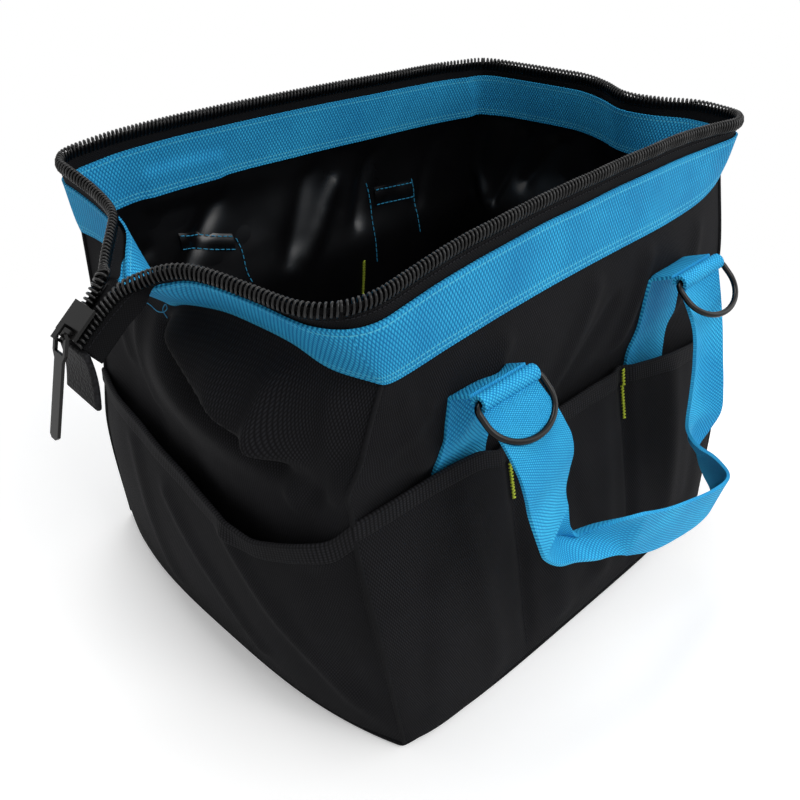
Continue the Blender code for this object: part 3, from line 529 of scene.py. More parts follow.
def coil(name, points, tops, material):
    """The coil of a zip: a wire wound tall along a line, with its teeth towards tops."""
    line = even(points, COIL_PITCH / TURN_STEPS)
    heads = even(tops, COIL_PITCH / TURN_STEPS)
    wound = []
    for k, point in enumerate(line):
        way = (line[min(k + 1, len(line) - 1)] - line[max(k - 1, 0)]).normalized()
        head = heads[round(k * (len(heads) - 1) / (len(line) - 1))] - point
        across = way.cross(head).normalized()
        up = across.cross(way)
        angle = 2 * math.pi * k / TURN_STEPS
        wound.append(point + across * COIL_THICK * math.cos(angle) + up * COIL_TALL * math.sin(angle))
    return tube(name, [wound], COIL_WIRE, material, sides=1)


def stitches(name, lines, pitch, radius, material):
    """Running stitches: a short thread along two thirds of each pitch of the lines."""
    runs = []
    for line in lines:
        dense = even(line, pitch / 6)
        for k in range(0, len(dense) - 5, 6):
            runs.append(dense[k:k + 5])
    return tube(name, runs, radius, material, sides=1)


# Materials

def shade(hexcode):
    """An sRGB hex colour as a linear one."""
    parts = [int(hexcode[k:k + 2], 16) / 255 for k in (1, 3, 5)]
    return (*[p / 12.92 if p <= 0.04045 else ((p + 0.055) / 1.055) ** 2.4 for p in parts], 1.0)


def add(tree, kind, inputs=(), out=0, **settings):
    """A node with its settings and links, given as one of its outputs; inputs are values or sockets."""
    node = tree.nodes.new(kind)
    for key, value in settings.items():
        setattr(node, key, value)
    for key, value in inputs.items() if isinstance(inputs, dict) else enumerate(inputs):
        if isinstance(value, bpy.types.NodeSocket):
            tree.links.new(value, node.inputs[key])
        else:
            node.inputs[key].default_value = value
    return node.outputs[out]


MATH, WAVE = "ShaderNodeMath", "ShaderNodeTexWave"
# A wave texture of scale 1 repeats at this distance
WAVE_LENGTH = math.pi / 10


def ripple(pitch, uneven=0.0):
    """The inputs of a wave texture whose bands repeat at a pitch in metres."""
    return {"Scale": WAVE_LENGTH / pitch, "Distortion": uneven, "Detail": 2.0, "Detail Scale": 1.5}


def weave(columns, rows, sharp=1.0):
    """A plain weave: bumps in columns and rows this far apart, each column half a bump off the next."""
    def pattern(tree, flat, place):
        first = add(tree, WAVE, {"Vector": flat, **ripple(2 * columns, 0.35)}, "Fac", bands_direction="X")
        second = add(tree, WAVE, {"Vector": flat, **ripple(2 * rows, 0.35)}, "Fac", bands_direction="Y")
        apart = add(tree, MATH, (first, second), operation="SUBTRACT")
        return add(tree, MATH, (add(tree, MATH, (apart,), operation="ABSOLUTE"), sharp), operation="POWER")
    return pattern


def ribs(tree, flat, place):
    """Upright cords of the binding every 1.9 mm, crossed by the weft every 1.3 mm."""
    cords = add(tree, WAVE, {"Vector": flat, **ripple(0.0019, 0.4)}, "Fac", bands_direction="X")
    weft = add(tree, WAVE, {"Vector": flat, **ripple(0.0013, 0.4)}, "Fac", bands_direction="Y")
    lifted = add(tree, MATH, (weft, 0.65, 0.35), operation="MULTIPLY_ADD")
    return add(tree, MATH, (add(tree, MATH, (cords, 0.7), operation="POWER"), lifted), operation="MULTIPLY")


def creases(tree, flat, place):
    """Creases of the coated lining: broad waves, and sharp folds where a finer noise crosses its middle."""
    broad = add(tree, "ShaderNodeTexNoise", {"Vector": place, "Scale": 11.0, "Detail": 1.5, "Distortion": 0.4})
    fine = add(tree, "ShaderNodeTexNoise", {"Vector": place, "Scale": 22.0, "Detail": 1.0, "Distortion": 0.4})
    folded = add(tree, MATH, (add(tree, MATH, (fine, 0.5), operation="SUBTRACT"),), operation="ABSOLUTE")
    return add(tree, MATH, (folded, 0.25, broad), operation="MULTIPLY_ADD")


def waves(tree, flat, place):
    """The board's lining lies flatter, in slow waves."""
    return add(tree, "ShaderNodeTexNoise", {"Vector": place, "Scale": 14.0, "Detail": 1.0})


def grain(tree, flat, place):
    """Fine grain of lacquer, moulded coil and thread, about 1.1 mm across."""
    return add(tree, "ShaderNodeTexNoise", {"Vector": place, "Scale": 900.0, "Detail": 2.0})


def pebbles(tree, flat, place):
    """Rounded pebbles about 1.4 mm across, pressed into the tab's cloth."""
    cells = add(tree, "ShaderNodeTexVoronoi", {"Vector": place, "Scale": 700.0})
    return add(tree, MATH, (1.0, cells), operation="SUBTRACT", use_clamp=True)


def surface(name, dark, light, roughness, pattern, height, cloud=30.0, stitch=None, **constant):
    """A material: two tones spread by its weave and by cloudy wear, its relief, and rows of stitches."""
    material = bpy.data.materials.new(name)
    material.use_nodes = True
    tree = material.node_tree
    shader = tree.nodes["Principled BSDF"]
    flat = add(tree, "ShaderNodeTexCoord", out="UV")
    place = add(tree, "ShaderNodeTexCoord", out="Object")
    clouds = add(tree, "ShaderNodeTexNoise", {"Vector": place, "Scale": cloud, "Detail": 5.0})
    raised = pattern(tree, flat, place)
    wear = add(tree, MATH, (clouds, 1.3, 0.2), operation="MULTIPLY_ADD")
    share = add(tree, MATH, (raised, wear), operation="MULTIPLY", use_clamp=True)
    tone = add(tree, "ShaderNodeMix", {0: share, 6: shade(dark), 7: shade(light)}, 2, data_type="RGBA")
    if stitch:
        rows, pitch, hexcode = stitch
        u = add(tree, "ShaderNodeSeparateXYZ", (flat,), 0)
        v = add(tree, "ShaderNodeSeparateXYZ", (flat,), 1)
        stretch = add(tree, MATH, (add(tree, MATH, (u, pitch), operation="DIVIDE"),), operation="FRACT")
        total = 0.0
        for row in rows:
            on_row = add(tree, MATH, (v, row, THREAD), operation="COMPARE")
            total = add(tree, MATH, (total, on_row), operation="MAXIMUM")
        shown = add(tree, MATH, (add(tree, MATH, (stretch, 0.78), operation="LESS_THAN"), total), operation="MULTIPLY")
        tone = add(tree, "ShaderNodeMix", {0: shown, 6: tone, 7: shade(hexcode)}, 2, data_type="RGBA")
    tree.links.new(tone, shader.inputs["Base Color"])
    spread = {0: clouds, 3: roughness - 0.06, 4: roughness + 0.06}
    tree.links.new(add(tree, "ShaderNodeMapRange", spread), shader.inputs["Roughness"])
    relief = add(tree, "ShaderNodeBump", {"Strength": 0.8, "Distance": height, "Height": raised})
    tree.links.new(relief, shader.inputs["Normal"])
    for key, value in constant.items():
        shader.inputs[key.replace("_", " ")].default_value = value
    return material


def make_materials():
    """Every material, by the name of the real one; woven cloth hardly shines, so its specular level is low."""
    woven = dict(Specular_IOR_Level=0.1)
    blue = ("#0F68A2", "#41C0F0")
    # Two rows of stitches near the band's lower edge and one near its upper, a stitch every 3.6 mm
    seams = ((0.0022, 0.0046, 0.0292), 0.0036, "#58BBDA")
    return {
        # Woven polyester: matt near-black, a fine grid with paler crowns
        "polyester": surface("polyester_weave", "#050506", "#242427", 0.85, weave(0.00065, 0.00130), 0.0002, **woven),
        # Polyester coated on its inner side: black and wet-looking, with creases that catch the light
        "lining": surface("coated_lining", "#030304", "#0B0B0D", 0.30, creases, 0.010, Specular_IOR_Level=0.5),
        # The same coating stretched over the board: duller and flatter
        "board": surface("coated_board", "#050506", "#0D0D0F", 0.34, waves, 0.003, Specular_IOR_Level=0.4),
        # Ribbed polyester tape folded over the pockets' rims: matt upright cords
        "binding": surface("ribbed_binding", "#060607", "#2A2A2D", 0.80, ribs, 0.0003, **woven),
        # Grosgrain of the mouth's band: matt blue with a coarse weave and rows of pale stitches
        "grosgrain": surface("grosgrain", *blue, 0.70, weave(0.00105, 0.0019, 0.8), 0.0004, stitch=seams, **woven),
        # Woven nylon webbing of the handles: a thick square weave, a little brighter and smoother
        "webbing": surface("nylon_webbing", "#147EC2", "#4CD4FF", 0.68, weave(0.0011, 0.0011, 0.8), 0.0005, **woven),
        # The zip's woven tape: matt black, finer and flatter than the cloth
        "tape": surface("zip_tape", "#050506", "#18181A", 0.85, weave(0.0007, 0.0008), 0.0001, **woven),
        # Extruded nylon coil: smooth black wire with soft highlights
        "coil": surface("nylon_coil", "#030303", "#0A0A0B", 0.30, grain, 0.00005, Specular_IOR_Level=0.3),
        # Polyester threads: yellow-green at the bartacks, blue on the lining, black at the seams; the blue thread's
        # tones are darkened with painted shade, as it looks inside the shaded bag
        "lime": surface("lime_thread", "#A6B628", "#E4F262", 0.60, grain, 0.0001, **woven),
        "cyan_painted_shade": surface("blue_thread_painted_shade", "#1C6F96", "#48A6CC", 0.60, grain, 0.0001, **woven),
        "black_thread": surface("black_thread", "#0C0C0E", "#26262A", 0.70, grain, 0.0001, **woven),
        # Steel under black lacquer: dark and glossy, and the lacquer hides the metal
        "metal": surface("lacquered_steel", "#020202", "#080707", 0.20, grain, 0.00002, Specular_IOR_Level=0.25),
        # Coated cloth pressed with pebbles, on the zip's end tab: satin black with small round crowns
        "pebbled": surface("pebbled_cloth", "#0A0A0B", "#29292C", 0.55, pebbles, 0.0004, **woven),
    }


# The pieces

# Sizes of the cloth laid flat, which set the scale of its weave
SPAN, WALL_CLOTH, ROW_CLOTH, HALF_END_CLOTH = 2 * END_X, 0.234, 0.136, 0.11
END_POCKET_CLOTH = (0.12, 0.13)
BAND_WIDTH, TAPE_WIDTH, EDGE_WIDTH = BAND_HIGH - BAND_LOW, 0.0146, 0.010
# The layers of the mouth's band: how far each stands out from the wall, its lower and its upper edge
BAND_LAYERS = (("outer", 0.0016, BAND_LOW, BAND_HIGH), ("inner", -0.0030, *INNER_BAND))


def along(u):
    """A place along a long wall, from its share."""
    return mix(-END_X, END_X, u)


def make_wall(side, mats):
    """A long wall's lined cloth, with the two layers of band."""
    name = SIDES[side]
    wall = [f"{name}_wall"]
    sew(f"{name}_wall_shell", lambda u, v: long_wall(side, along(u), mix(WALL_FOOT, WALL_TOP, v)), (150, 100),
        (SPAN, WALL_CLOTH), [mats["polyester"], mats["lining"]], LINED, wall,
        [f"{name}_panel", f"{name}_frame_wire"], flip=side == REAR)
    for layer, out, low, high in BAND_LAYERS:
        sew(f"{name}_{layer}_ribbon", lambda u, v: long_wall(side, along(u), mix(low, high, v), out), (150, 12),
            (SPAN, BAND_WIDTH), [mats["grosgrain"]], RIBBON, wall, [f"{name}_{layer}_band"],
            flip=(side == REAR) == (layer == "outer"))


def make_wall_zip(side, mats):
    """The zip's tape, coil, core and stitches along a long wall."""
    name = SIDES[side]
    wall = [f"{name}_wall"]
    sew(f"{name}_tape", lambda u, v: long_wall(side, along(u), mix(TAPE_LOW, TAPE_TOP, v), TAPE_OUT), (150, 5),
        (SPAN, TAPE_WIDTH), [mats["tape"]], RIBBON, wall, [f"{name}_zip_tape"], flip=side == REAR)
    line = [long_wall(side, along(k / 90), MOUTH, COIL_OUT) for k in range(91)]
    tops = [p + TEETH_WAY for p in line]
    carry(coil(f"{name}_coil", line, tops, mats["coil"]), wall, [f"{name}_zip_coil"])
    carry(tube(f"{name}_coil_core", [line], CORE, mats["tape"]), wall)
    sewn = [long_wall(side, along(k / 90), TAPE_SEAM, STITCH_OUT) for k in range(91)]
    carry(stitches(f"{name}_coil_stitches", [sewn], COIL_PITCH, THREAD, mats["black_thread"]), wall)


def make_pocket_row(side, mats):
    """Three pockets in a row with a bound rim, sewn down by two bartacked seams, and the corner seams."""
    name = SIDES[side]
    wall = [f"{name}_wall"]
    sew(f"{name}_pocket_shell", lambda u, v: pocket_face(side, along(u), mix(POCKET_FOOT, rim_height(along(u)), v)),
        (160, 70), (SPAN, ROW_CLOTH), [mats["polyester"]], CLOTH, wall, [f"{name}_pocket"],
        flip=side == REAR)
    sew(f"{name}_pocket_edge",
        lambda u, v: pocket_face(side, along(u), rim_height(along(u)) + mix(*EDGE_UP, v), EDGE_OUT), (160, 5),
        (SPAN, EDGE_WIDTH), [mats["binding"]], BINDING, wall, [f"{name}_pocket_binding"],
        flip=side == REAR, soften=1)
    for end in ENDS:
        tag = f"{name}_{ENDS[end]}"
        middle = end * SEAM_X
        rim = rim_height(middle)
        # The zigzag climbs over the binding at its top, in its first 21 points
        zigzag = [pocket_face(side, middle + TACK_SWING * (-1) ** k,
                              rim + mix(0.0, -TACK_LENGTH, k / 64) + 0.0003 * math.sin(k * 1.7),
                              0.0030 if k < 21 else 0.0018) for k in range(65)]
        carry(tube(f"{tag}_tack", [zigzag], TACK_THREAD, mats["lime"], sides=1), wall,
              [f"{tag}_bartack"])
        sewn = [pocket_face(side, middle, mix(0.012, rim - 0.034, k / 60), 0.0001) for k in range(61)]
        carry(stitches(f"{tag}_pocket_seam", [sewn], POCKET_STITCH, THREAD, mats["black_thread"]), wall)
        seam = [corner(end, side, mix(4, 211, k / 100)) * MM for k in range(101)]
        seam = [Vector((p.x + end * 0.0001, p.y + side * 0.0001, p.z)) for p in seam]
        carry(tube(f"{tag}_corner_seam", [seam], CORNER_SEAM, mats["binding"]), wall)


# Where the handles are sewn through the lining: from, to, height, its fall along the bar, the bar's
# height, and the runs of stitches under it as x, height, x, height
LINING_BARS = {
    LEFT: (-0.089, -0.053, 0.188, 0.009, 0.009, ((-0.051, 0.176, -0.047, 0.150),)),
    RIGHT: (0.064, 0.098, 0.178, 0.003, 0.012, ((0.058, 0.182, 0.059, 0.126), (0.098, 0.176, 0.102, 0.136))),
}


def make_lining_details(side, mats):
    """Inside the long walls: where the handles are sewn through, and the pocket seams."""
    name = SIDES[side]
    wall = [f"{name}_wall"]
    for end, (low, high, top, drop, tall, runs) in LINING_BARS.items():
        tag = f"{name}_{ENDS[end]}"

        def bar(u, v):
            puff = 0.0019 + 0.0010 * math.sin(math.pi * v) + 0.0006 * math.sin(9 * u)
            return long_wall(side, mix(low, high, u), top - drop * u - tall * (1 - v), -puff)

        sew(f"{tag}_lining_bar", bar, (30, 6), (0.04, 0.009), [mats["lining"]], CLOTH, wall,
            flip=side == FRONT)
        rows = [[long_wall(side, mix(low, high, k / 20), top - drop * k / 20 - gap, -0.0038) for k in range(21)]
                for gap in (0.001, tall - 0.001)]
        rows += [[long_wall(side, mix(x0, x1, k / 30) + 0.001 * math.sin(k / 5), mix(h0, h1, k / 30), -0.0024)
                  for k in range(31)] for x0, h0, x1, h1 in runs]
        # The blue thread of these stitches carries painted shade in its darkened tones
        carry(stitches(f"{tag}_lining_stitches", rows, LINING_STITCH, 0.00032, mats["cyan_painted_shade"]), wall)
        middle = end * SEAM_X
        # The bartack's back shows a little nearer the middle, between these two heights
        zigzag = [long_wall(side, middle - end * 0.004 + TACK_SWING * (-1) ** k, mix(0.133, 0.107, k / 40), -0.0022)
                  for k in range(41)]
        carry(tube(f"{tag}_inner_tack", [zigzag], 0.0004, mats["lime"], sides=1), wall)


def half_end(end, side):
    """What the pieces of half an end share: the name, the two bodies and the way their faces turn."""
    return f"{ENDS[end]}_{SIDES[side]}", ["bag_base", f"{SIDES[side]}_wall"], (end == RIGHT) != (side == REAR)


def once(side, *nodes):
    """A node that spans a whole end is replaced by its front half and left to it by the rear one."""
    return nodes if side == FRONT else ()


def make_end_cloth(end, side, mats):
    """Half of an end's lined cloth, with the two layers of band."""
    tag, bodies, turned = half_end(end, side)
    sew(f"{tag}_end_shell", lambda u, v: end_wall(end, side * u, mix(END_FOOT, WALL_TOP, v)), (110, 160),
        (HALF_END_CLOTH, WALL_CLOTH), [mats["polyester"], mats["lining"]], LINED, bodies,
        once(side, f"{ENDS[end]}_end_wall"), flip=turned)
    for layer, out, low, high in BAND_LAYERS:
        # The inner band keeps further off the lining towards the middle, where the end flares
        further = 0.5 if layer == "inner" else 0.0
        sew(f"{tag}_{layer}_ribbon",
            lambda u, v: end_wall(end, side * u, mix(low, high, v), out * (1 + further * (1 - u))), (80, 12),
            (HALF_END_CLOTH, BAND_WIDTH), [mats["grosgrain"]], RIBBON, bodies,
            once(side, f"{ENDS[end]}_{layer}_band"), flip=turned == (layer == "outer"))


# The zip's way down the tail: distance along, half the gap between the coils, half the tapes' width
TAIL_WAY = ((0.013, 0.0080, 0.0150), (0.0235, 0.0055, 0.0135), (0.0330, 0.0048, 0.0125), (0.0425, 0.0048, 0.0125))


def down_tail(mouth_line, tail_line):
    """A line round the mouth that runs on smoothly down the tail."""
    knots = mouth_line[::6] + tail_line
    return [run_through(knots, k / 200) for k in range(201)]


def make_end_zip(end, side, mats):
    """Half of an end's zip; the left one's tape narrows towards the tail and runs on down it."""
    tag, bodies, turned = half_end(end, side)
    stop, narrow, flat_length = (0.13, 0.0065, 0.15) if end == LEFT else (0.0, 0.0, 0.12)
    shares = [mix(1, stop, k / 60) for k in range(61)]
    line = [end_wall(end, side * s, MOUTH, COIL_OUT) for s in shares]
    tops = [p + TEETH_WAY for p in line]
    under = [end_wall(end, side * s, TAPE_LOW + narrow * (1 - smooth((s - stop) / 0.3)), TAPE_OUT) for s in shares]
    nodes = once(side, "right_zip_")
    if end == LEFT:
        line = down_tail(line, [tail_point(a, side * gap) for a, gap, wide in TAIL_WAY])
        tops = down_tail(tops, [tail_point(a, side * (gap - 0.010), 0.001) for a, gap, wide in TAIL_WAY])
        under = down_tail(under, [tail_point(a, side * wide, -0.0095) for a, gap, wide in TAIL_WAY])
        nodes = (f"{tag}_zip_",)
    carry(coil(f"{tag}_coil", line, tops, mats["coil"]), bodies, [node + "coil" for node in nodes])
    carry(tube(f"{tag}_coil_core", [line], CORE, mats["tape"]), bodies)
    sew(f"{tag}_tape", lambda u, v: run_through(under, u).lerp(run_through(line, u), v), (len(line) - 1, 5),
        (flat_length, TAPE_WIDTH), [mats["tape"]], RIBBON, bodies, [node + "tape" for node in nodes],
        flip=turned != (side == FRONT))
    sewn = [a.lerp(b, 0.62) for a, b in zip(under, line)]
    carry(stitches(f"{tag}_coil_stitches", [sewn], COIL_PITCH, THREAD, mats["black_thread"]), bodies)


def make_end_pocket(end, side, mats):
    """Half of an end's gaping pocket, with its bound rim; the two rims overlap in the middle."""
    tag, bodies, turned = half_end(end, side)
    sew(f"{tag}_end_pocket_shell", lambda u, v: end_pocket_face(end, side * u, v), (80, 60), END_POCKET_CLOTH,
        [mats["polyester"]], CLOTH, bodies, once(side, f"{ENDS[end]}_end_pocket"), flip=turned)
    sew(f"{tag}_end_pocket_edge",
        lambda u, v: end_pocket_face(end, side * mix(-0.015, 1, u), mix(0.92, 1.008, v), EDGE_OUT), (80, 5),
        (END_POCKET_CLOTH[0], EDGE_WIDTH), [mats["binding"]], BINDING, bodies,
        once(side, f"{ENDS[end]}_end_pocket_binding"), flip=turned, soften=1)


def make_loose_thread(mats):
    """The end of a thread that has come loose at the front band, beside the tail."""
    way = ((0.40, 0.2020), (0.32, 0.2035), (0.24, 0.2040), (0.18, 0.2055), (0.15, 0.2080), (0.18, 0.2090),
           (0.19, 0.2060), (0.12, 0.2045))
    knots = [end_wall(LEFT, s, h, 0.0022) for s, h in way]
    loose = [run_through(knots, k / 60) for k in range(61)]
    # The loose thread uses the blue thread whose tones are darkened with painted shade
    carry(tube("loose_thread", [loose], 0.00025, mats["cyan_painted_shade"], sides=1), ["bag_base", "rear_wall"])


# Where the tail's flat tape starts and stops down the tail, and half its width
TAIL_TAPE, TAIL_HALF = (0.014, 0.0435), 0.0125


def make_tail(mats):
    """The flat tape of the tail, hollow across, and the folded tab at its end."""
    def hollow(u, v):
        return tail_point(mix(*TAIL_TAPE, v), mix(-TAIL_HALF, TAIL_HALF, u), -0.0012 - 0.036 * (u - 0.5) ** 2)

    sew("tail_tape", hollow, (16, 24), (0.031, 0.0295), [mats["tape"]], RIBBON, ["bag_base"],
        ["zip_tail_tape"])
    low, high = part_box("zip_end_tab")

    def fold(u, v):
        x = mix(low.x, high.x, 0.5) + 0.0014 * math.sin(v * 3.0) - 0.0009
        lean = 0.004 * (1 - v)
        return Vector((x, mix(low.y, high.y, u) + lean * (u - 0.5),
                       mix(low.z, high.z - 0.001, v) + 0.002 * u * (1 - v)))

    sew("end_tab", fold, (16, 20), (0.022, 0.0285), [mats["pebbled"]], 0.0030, ["bag_base"],
        ["zip_end_tab"], flip=True, soften=1)


# The hanging handle's two edges, pair by pair: the outer one, then the inner one
HANDLE_EDGES = (
    ((-99, -129, 193), (-61, -129, 193)), ((-99, -136, 188), (-61, -136, 188)), ((-99, -142, 183), (-61, -142, 184)),
    ((-99, -148, 176.5), (-61, -147, 179)), ((-99, -153, 170), (-61, -151, 174)), ((-99, -157, 161), (-61, -153, 166)),
    ((-99, -160, 152), (-61, -152, 155)), ((-98, -165, 139), (-60, -151, 142)), ((-94, -168, 129), (-60, -154, 130)),
    ((-84, -170, 120), (-59, -157, 121)), ((-70, -170, 113), (-55, -161, 116)), ((-50, -170, 101), (-44, -171, 124)),
    ((-28, -169, 90), (-32, -177, 125)), ((2, -170, 73), (-4, -178, 114)), ((32, -169, 62), (24, -178, 104)),
    ((58, -168, 56), (46, -178, 97)), ((76, -166, 57), (62, -177, 92)), ((88, -159, 58), (70, -174, 91)),
    ((92, -151, 62), (71, -169, 94)), ((91, -146, 72), (68, -164, 98)), ((90, -144, 84), (64, -158, 102)),
    ((93, -147, 96), (61, -153, 107)), ((96, -150, 110), (60, -149, 113)), ((96, -148, 126), (61, -147, 120)),
    ((96, -144, 143), (61, -146, 137)), ((97, -139, 161), (61, -144, 157)), ((97, -134, 179), (61, -140, 175)),
    ((98, -129, 193), (61, -130, 192)),
)
ROLL_RADIUS = 0.0042
# An anchor lies on the wall between these heights, for this share of its length, then leads to its roll
ANCHOR_FOOT, ANCHOR_TOP, ON_WALL, ANCHOR_OUT = 0.100, 0.186, 0.86, 0.0020


def make_handle(side, mats):
    """The webbing handle: it leaves each roll outwards, arches over and hangs as a loop that twists."""
    name = SIDES[side]
    outer = [Vector((a[0], -side * a[1], a[2])) * MM for a, b in HANDLE_EDGES]
    inner = [Vector((b[0], -side * b[1], b[2])) * MM for a, b in HANDLE_EDGES]
    flat_length = sum((b - a).length for a, b in zip(outer, outer[1:]))

    def strap(u, v):
        """Where the edges are closer than the webbing is wide, it hollows between them."""
        a, b = run_through(outer, v), run_through(inner, v)
        apart = (b - a).length
        half = 0.5 * min(1, STRAP_WIDTH / apart)
        hollow = math.sqrt(0.375 * apart * max(0, STRAP_WIDTH - apart)) * math.sin(math.pi * u)
        return a.lerp(b, mix(0.5 - half, 0.5 + half, u)) + Vector((0, -side * hollow, 0))

    sew(f"{name}_handle_webbing", strap, (12, 260), (STRAP_WIDTH, flat_length), [mats["webbing"]], WEBBING,
        [f"{name}_handle"], [f"{name}_handle"], flip=side == REAR)
    for end in ENDS:
        make_strap_end(side, end, mats)


def make_strap_end(side, end, mats):
    """Where the webbing is sewn to the bag: the roll that holds the ring, and the anchor below it."""
    tag = f"{SIDES[side]}_{ENDS[end]}"
    middle = end * STRAP_X

    def roll(u, v):
        angle = mix(-0.35, 1.15, v) * math.pi
        return Vector((middle + mix(-STRAP_WIDTH / 2, STRAP_WIDTH / 2, u),
                       side * (RING_DEPTH + ROLL_RADIUS * math.cos(angle)),
                       RING_HEIGHT + ROLL_RADIUS * math.sin(angle)))

    sew(f"{tag}_roll", roll, (10, 28), (STRAP_WIDTH, 0.020), [mats["webbing"]], WEBBING, [f"{SIDES[side]}_handle"],
        flip=side == REAR)

    def anchor(u, v):
        up = min(1, v / ON_WALL)
        x = middle + mix(-STRAP_WIDTH / 2, STRAP_WIDTH / 2, u) + (-0.003 * (1 - up) if end == LEFT else 0)
        on_wall = long_wall(side, x, mix(ANCHOR_FOOT, ANCHOR_TOP, up), ANCHOR_OUT)
        top = Vector((x, side * max(RING_DEPTH - 0.0045, abs(on_wall.y)), RING_HEIGHT + 0.001))
        return on_wall if v < ON_WALL else on_wall.lerp(top, smooth((v - ON_WALL) / 0.14))

    sew(f"{tag}_anchor", anchor, (10, 70), (STRAP_WIDTH, 0.104), [mats["webbing"]], WEBBING,
        [f"{SIDES[side]}_wall"], [f"{tag}_strap_anchor"], flip=side == REAR)


# A D-ring's shape: half its bar, the bend at each end of it, half its width, its shoulder and its reach
BAR_HALF, BEND, RING_HALF, SHOULDER_AT, RING_REACH = 0.0175, 0.0041, 0.0216, 0.009, 0.0255
RING_WIRE = 0.0016
BEND_ANGLES = (0.4, 0.8, 1.2, 1.5708)


def make_rings(side, mats):
    """D-rings of round wire, lying out on the face of the webbing."""
    for end in ENDS:
        tag = f"{SIDES[side]}_{ENDS[end]}_d_ring"
        path = [(mix(-BAR_HALF, BAR_HALF, k / 10), 0.0) for k in range(11)]
        path += [(BAR_HALF + BEND * math.sin(a), BEND - BEND * math.cos(a)) for a in BEND_ANGLES]
        path += [(RING_HALF * math.cos(math.pi * k / 28), mix(SHOULDER_AT, RING_REACH, math.sin(math.pi * k / 28)))
                 for k in range(29)]
        path += [(-BAR_HALF - BEND * math.sin(a), BEND - BEND * math.cos(a)) for a in reversed(BEND_ANGLES)]
        points = [Vector((end * STRAP_X + x, side * (RING_DEPTH + d * math.sin(RING_TILT)),
                          RING_HEIGHT - d * math.cos(RING_TILT))) for x, d in path]
        wire = tube(tag + "_wire", [points], RING_WIRE, mats["metal"], closed=True, sides=5)
        carry(wire, [tag], [tag])


# In millimetres: the bottom's half sizes at its corners, how far its sides belly out, and its height
BOTTOM_X, BOTTOM_Y, BELLY_X, BELLY_Y, BOTTOM_Z = 142.8, 128, 18, 8, 3.2
BOARD_X, BOARD_Y, BOARD_TOP, BOARD_WAVES = 0.147, 0.106, 0.0062, 0.0006


def make_base(mats):
    """The cloth bottom, whose sides belly out between the corners, and the lined board inside."""
    def under(u, v):
        x, y = mix(-1, 1, u), mix(-1, 1, v)
        half_x = BOTTOM_X + BELLY_X * (1 - abs(y) ** 3)
        half_y = BOTTOM_Y + BELLY_Y * (1 - x ** 4)
        return Vector((x * half_x, y * half_y, BOTTOM_Z)) * MM

    def over(u, v):
        return Vector((mix(-BOARD_X, BOARD_X, u), mix(-BOARD_Y, BOARD_Y, v),
                       BOARD_TOP + BOARD_WAVES * noise.noise(Vector((u * 9, v * 7, 0)))))

    sew("bottom_shell", under, (60, 60), (0.30, 0.26), [mats["polyester"]], 0.0030, ["bag_base"],
        ["base_panel"], soften=1)
    sew("board_lining", over, (40, 30), (2 * BOARD_X, 2 * BOARD_Y), [mats["board"]], 0.0020, ["bag_base"],
        ["base_board"])


def dress_metal(mats):
    """The slider and the puller keep their solids, with bevelled edges."""
    for node in ("zip_slider", "zip_puller"):
        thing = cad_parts[node]
        thing.data.materials.clear()
        thing.data.materials.append(mats["metal"])
        edge = thing.modifiers.new("edge", "BEVEL")
        edge.width = 0.0003
        edge.segments = 2


# Camera and studio

CAMERA_PLACE = (-0.371, -0.351, 0.442)
YAW, PITCH, ROLL = math.radians(-45.1), math.radians(34.7), math.radians(0.5)
# The lens, in pixels of the photograph's 800-pixel frame, and the sensor in millimetres
FOCAL_PIXELS, FRAME_PIXELS, SENSOR = 986, 800, 36
WHITE = (1, 1, 1, 1)
# The floor's own glow in the camera's eyes, and where it fades out to the white behind it
FLOOR_GLOW, FADE_FROM, FADE_TO = 0.22, 0.28, 0.50
WORLD_LEVEL = 0.50
# Lamps: name, place, size, watts
LAMPS = (("key", (0.1, -1.4, 1.5), 1.1, 17), ("fill", (1.2, -1.0, 0.9), 1.2, 6), ("top", (0.1, 0.5, 1.6), 0.9, 10))
LAMPS_AIM = (0, 0, 0.12)


def make_camera():
    """The camera at the photograph's angle."""
    forward = Vector((-math.sin(YAW) * math.cos(PITCH), math.cos(YAW) * math.cos(PITCH), -math.sin(PITCH)))
    right = Vector((math.cos(YAW), math.sin(YAW), 0))
    up = right.cross(forward)
    level, lean = right * math.cos(ROLL) + up * math.sin(ROLL), up * math.cos(ROLL) - right * math.sin(ROLL)
    lens = bpy.data.cameras.new("camera")
    lens.sensor_width = SENSOR
    lens.lens = SENSOR * FOCAL_PIXELS / FRAME_PIXELS
    lens.clip_start = 0.01
    camera = bpy.data.objects.new("camera", lens)
    turn = Matrix((level, lean, -forward)).transposed().to_4x4()
    camera.matrix_world = Matrix.Translation(CAMERA_PLACE) @ turn
    bpy.context.collection.objects.link(camera)
    bpy.context.scene.camera = camera
    bpy.context.scene.view_settings.view_transform = "Standard"


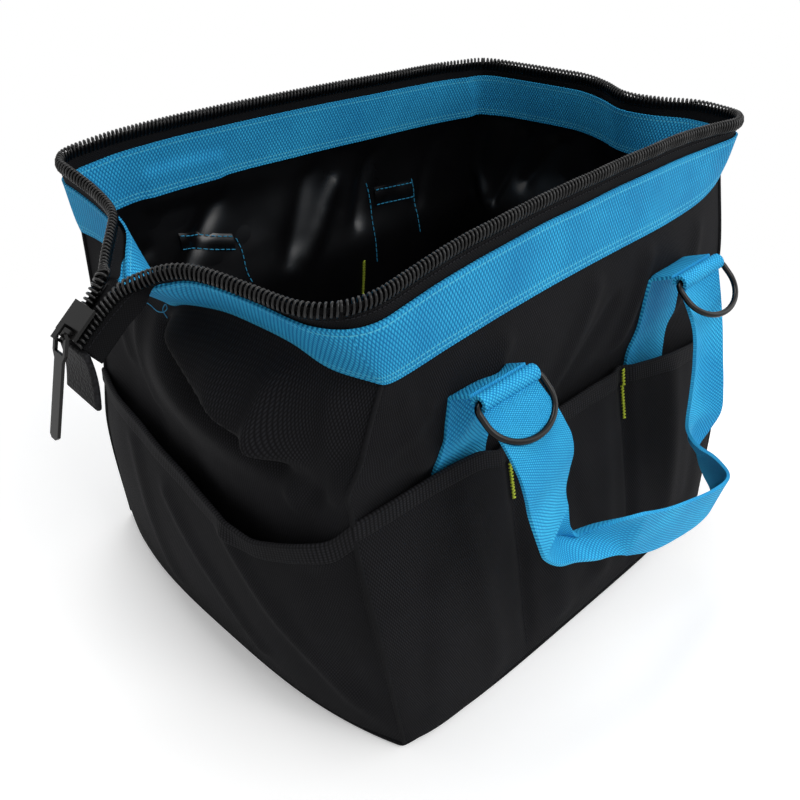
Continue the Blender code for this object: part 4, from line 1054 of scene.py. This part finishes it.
def make_floor():
    """A plain pale floor that fades into the white studio."""
    bm = bmesh.new()
    bmesh.ops.create_grid(bm, x_segments=1, y_segments=1, size=3.0)
    pale = bpy.data.materials.new("studio_floor")
    pale.use_nodes = True
    tree = pale.node_tree
    shader = tree.nodes["Principled BSDF"]
    shader.inputs["Base Color"].default_value = shade("#FBFBFB")
    shader.inputs["Roughness"].default_value = 0.95
    shader.inputs["Specular IOR Level"].default_value = 0.0
    shader.inputs["Emission Color"].default_value = WHITE
    camera_ray = add(tree, "ShaderNodeLightPath", out="Is Camera Ray")
    glow = add(tree, MATH, (camera_ray, FLOOR_GLOW), operation="MULTIPLY")
    tree.links.new(glow, shader.inputs["Emission Strength"])
    place = add(tree, "ShaderNodeTexCoord", out="Object")
    away = add(tree, "ShaderNodeVectorMath", (place,), "Value", operation="LENGTH")
    seen = add(tree, "ShaderNodeMapRange", {0: away, 1: FADE_FROM, 2: FADE_TO, 3: 1.0, 4: 0.0},
               interpolation_type="SMOOTHSTEP")
    clear = add(tree, "ShaderNodeBsdfTransparent")
    faded = add(tree, "ShaderNodeMixShader", (seen, clear, shader.outputs[0]))
    tree.links.new(faded, tree.nodes["Material Output"].inputs["Surface"])
    finish_mesh("studio_floor", bm, [pale])


def make_light():
    """A world that looks white and lights at a plain level, and three large soft lamps."""
    world = bpy.data.worlds.new("studio")
    bpy.context.scene.world = world
    world.use_nodes = True
    tree = world.node_tree
    back = tree.nodes["Background"]
    shown = 0.0
    for kind in ("Is Camera Ray", "Is Glossy Ray", "Is Transmission Ray"):
        ray = add(tree, "ShaderNodeLightPath", out=kind)
        shown = add(tree, MATH, (shown, ray), operation="MAXIMUM")
    tree.links.new(add(tree, "ShaderNodeMapRange", {0: shown, 3: WORLD_LEVEL, 4: 1.0}), back.inputs["Strength"])
    back.inputs["Color"].default_value = WHITE
    for name, spot, size, power in LAMPS:
        lamp = bpy.data.lights.new(name, "AREA")
        lamp.size = size
        lamp.energy = power
        thing = bpy.data.objects.new(name, lamp)
        thing.location = spot
        thing.rotation_euler = (Vector(LAMPS_AIM) - Vector(spot)).to_track_quat("-Z", "Y").to_euler()
        bpy.context.collection.objects.link(thing)


mats = make_materials()
make_camera()
for side in SIDES:
    for make in (make_wall, make_wall_zip, make_pocket_row, make_lining_details, make_handle, make_rings):
        make(side, mats)
for end in ENDS:
    for side in SIDES:
        for make in (make_end_cloth, make_end_zip, make_end_pocket):
            make(end, side, mats)
make_loose_thread(mats)
make_tail(mats)
make_base(mats)
dress_metal(mats)
make_floor()
make_light()
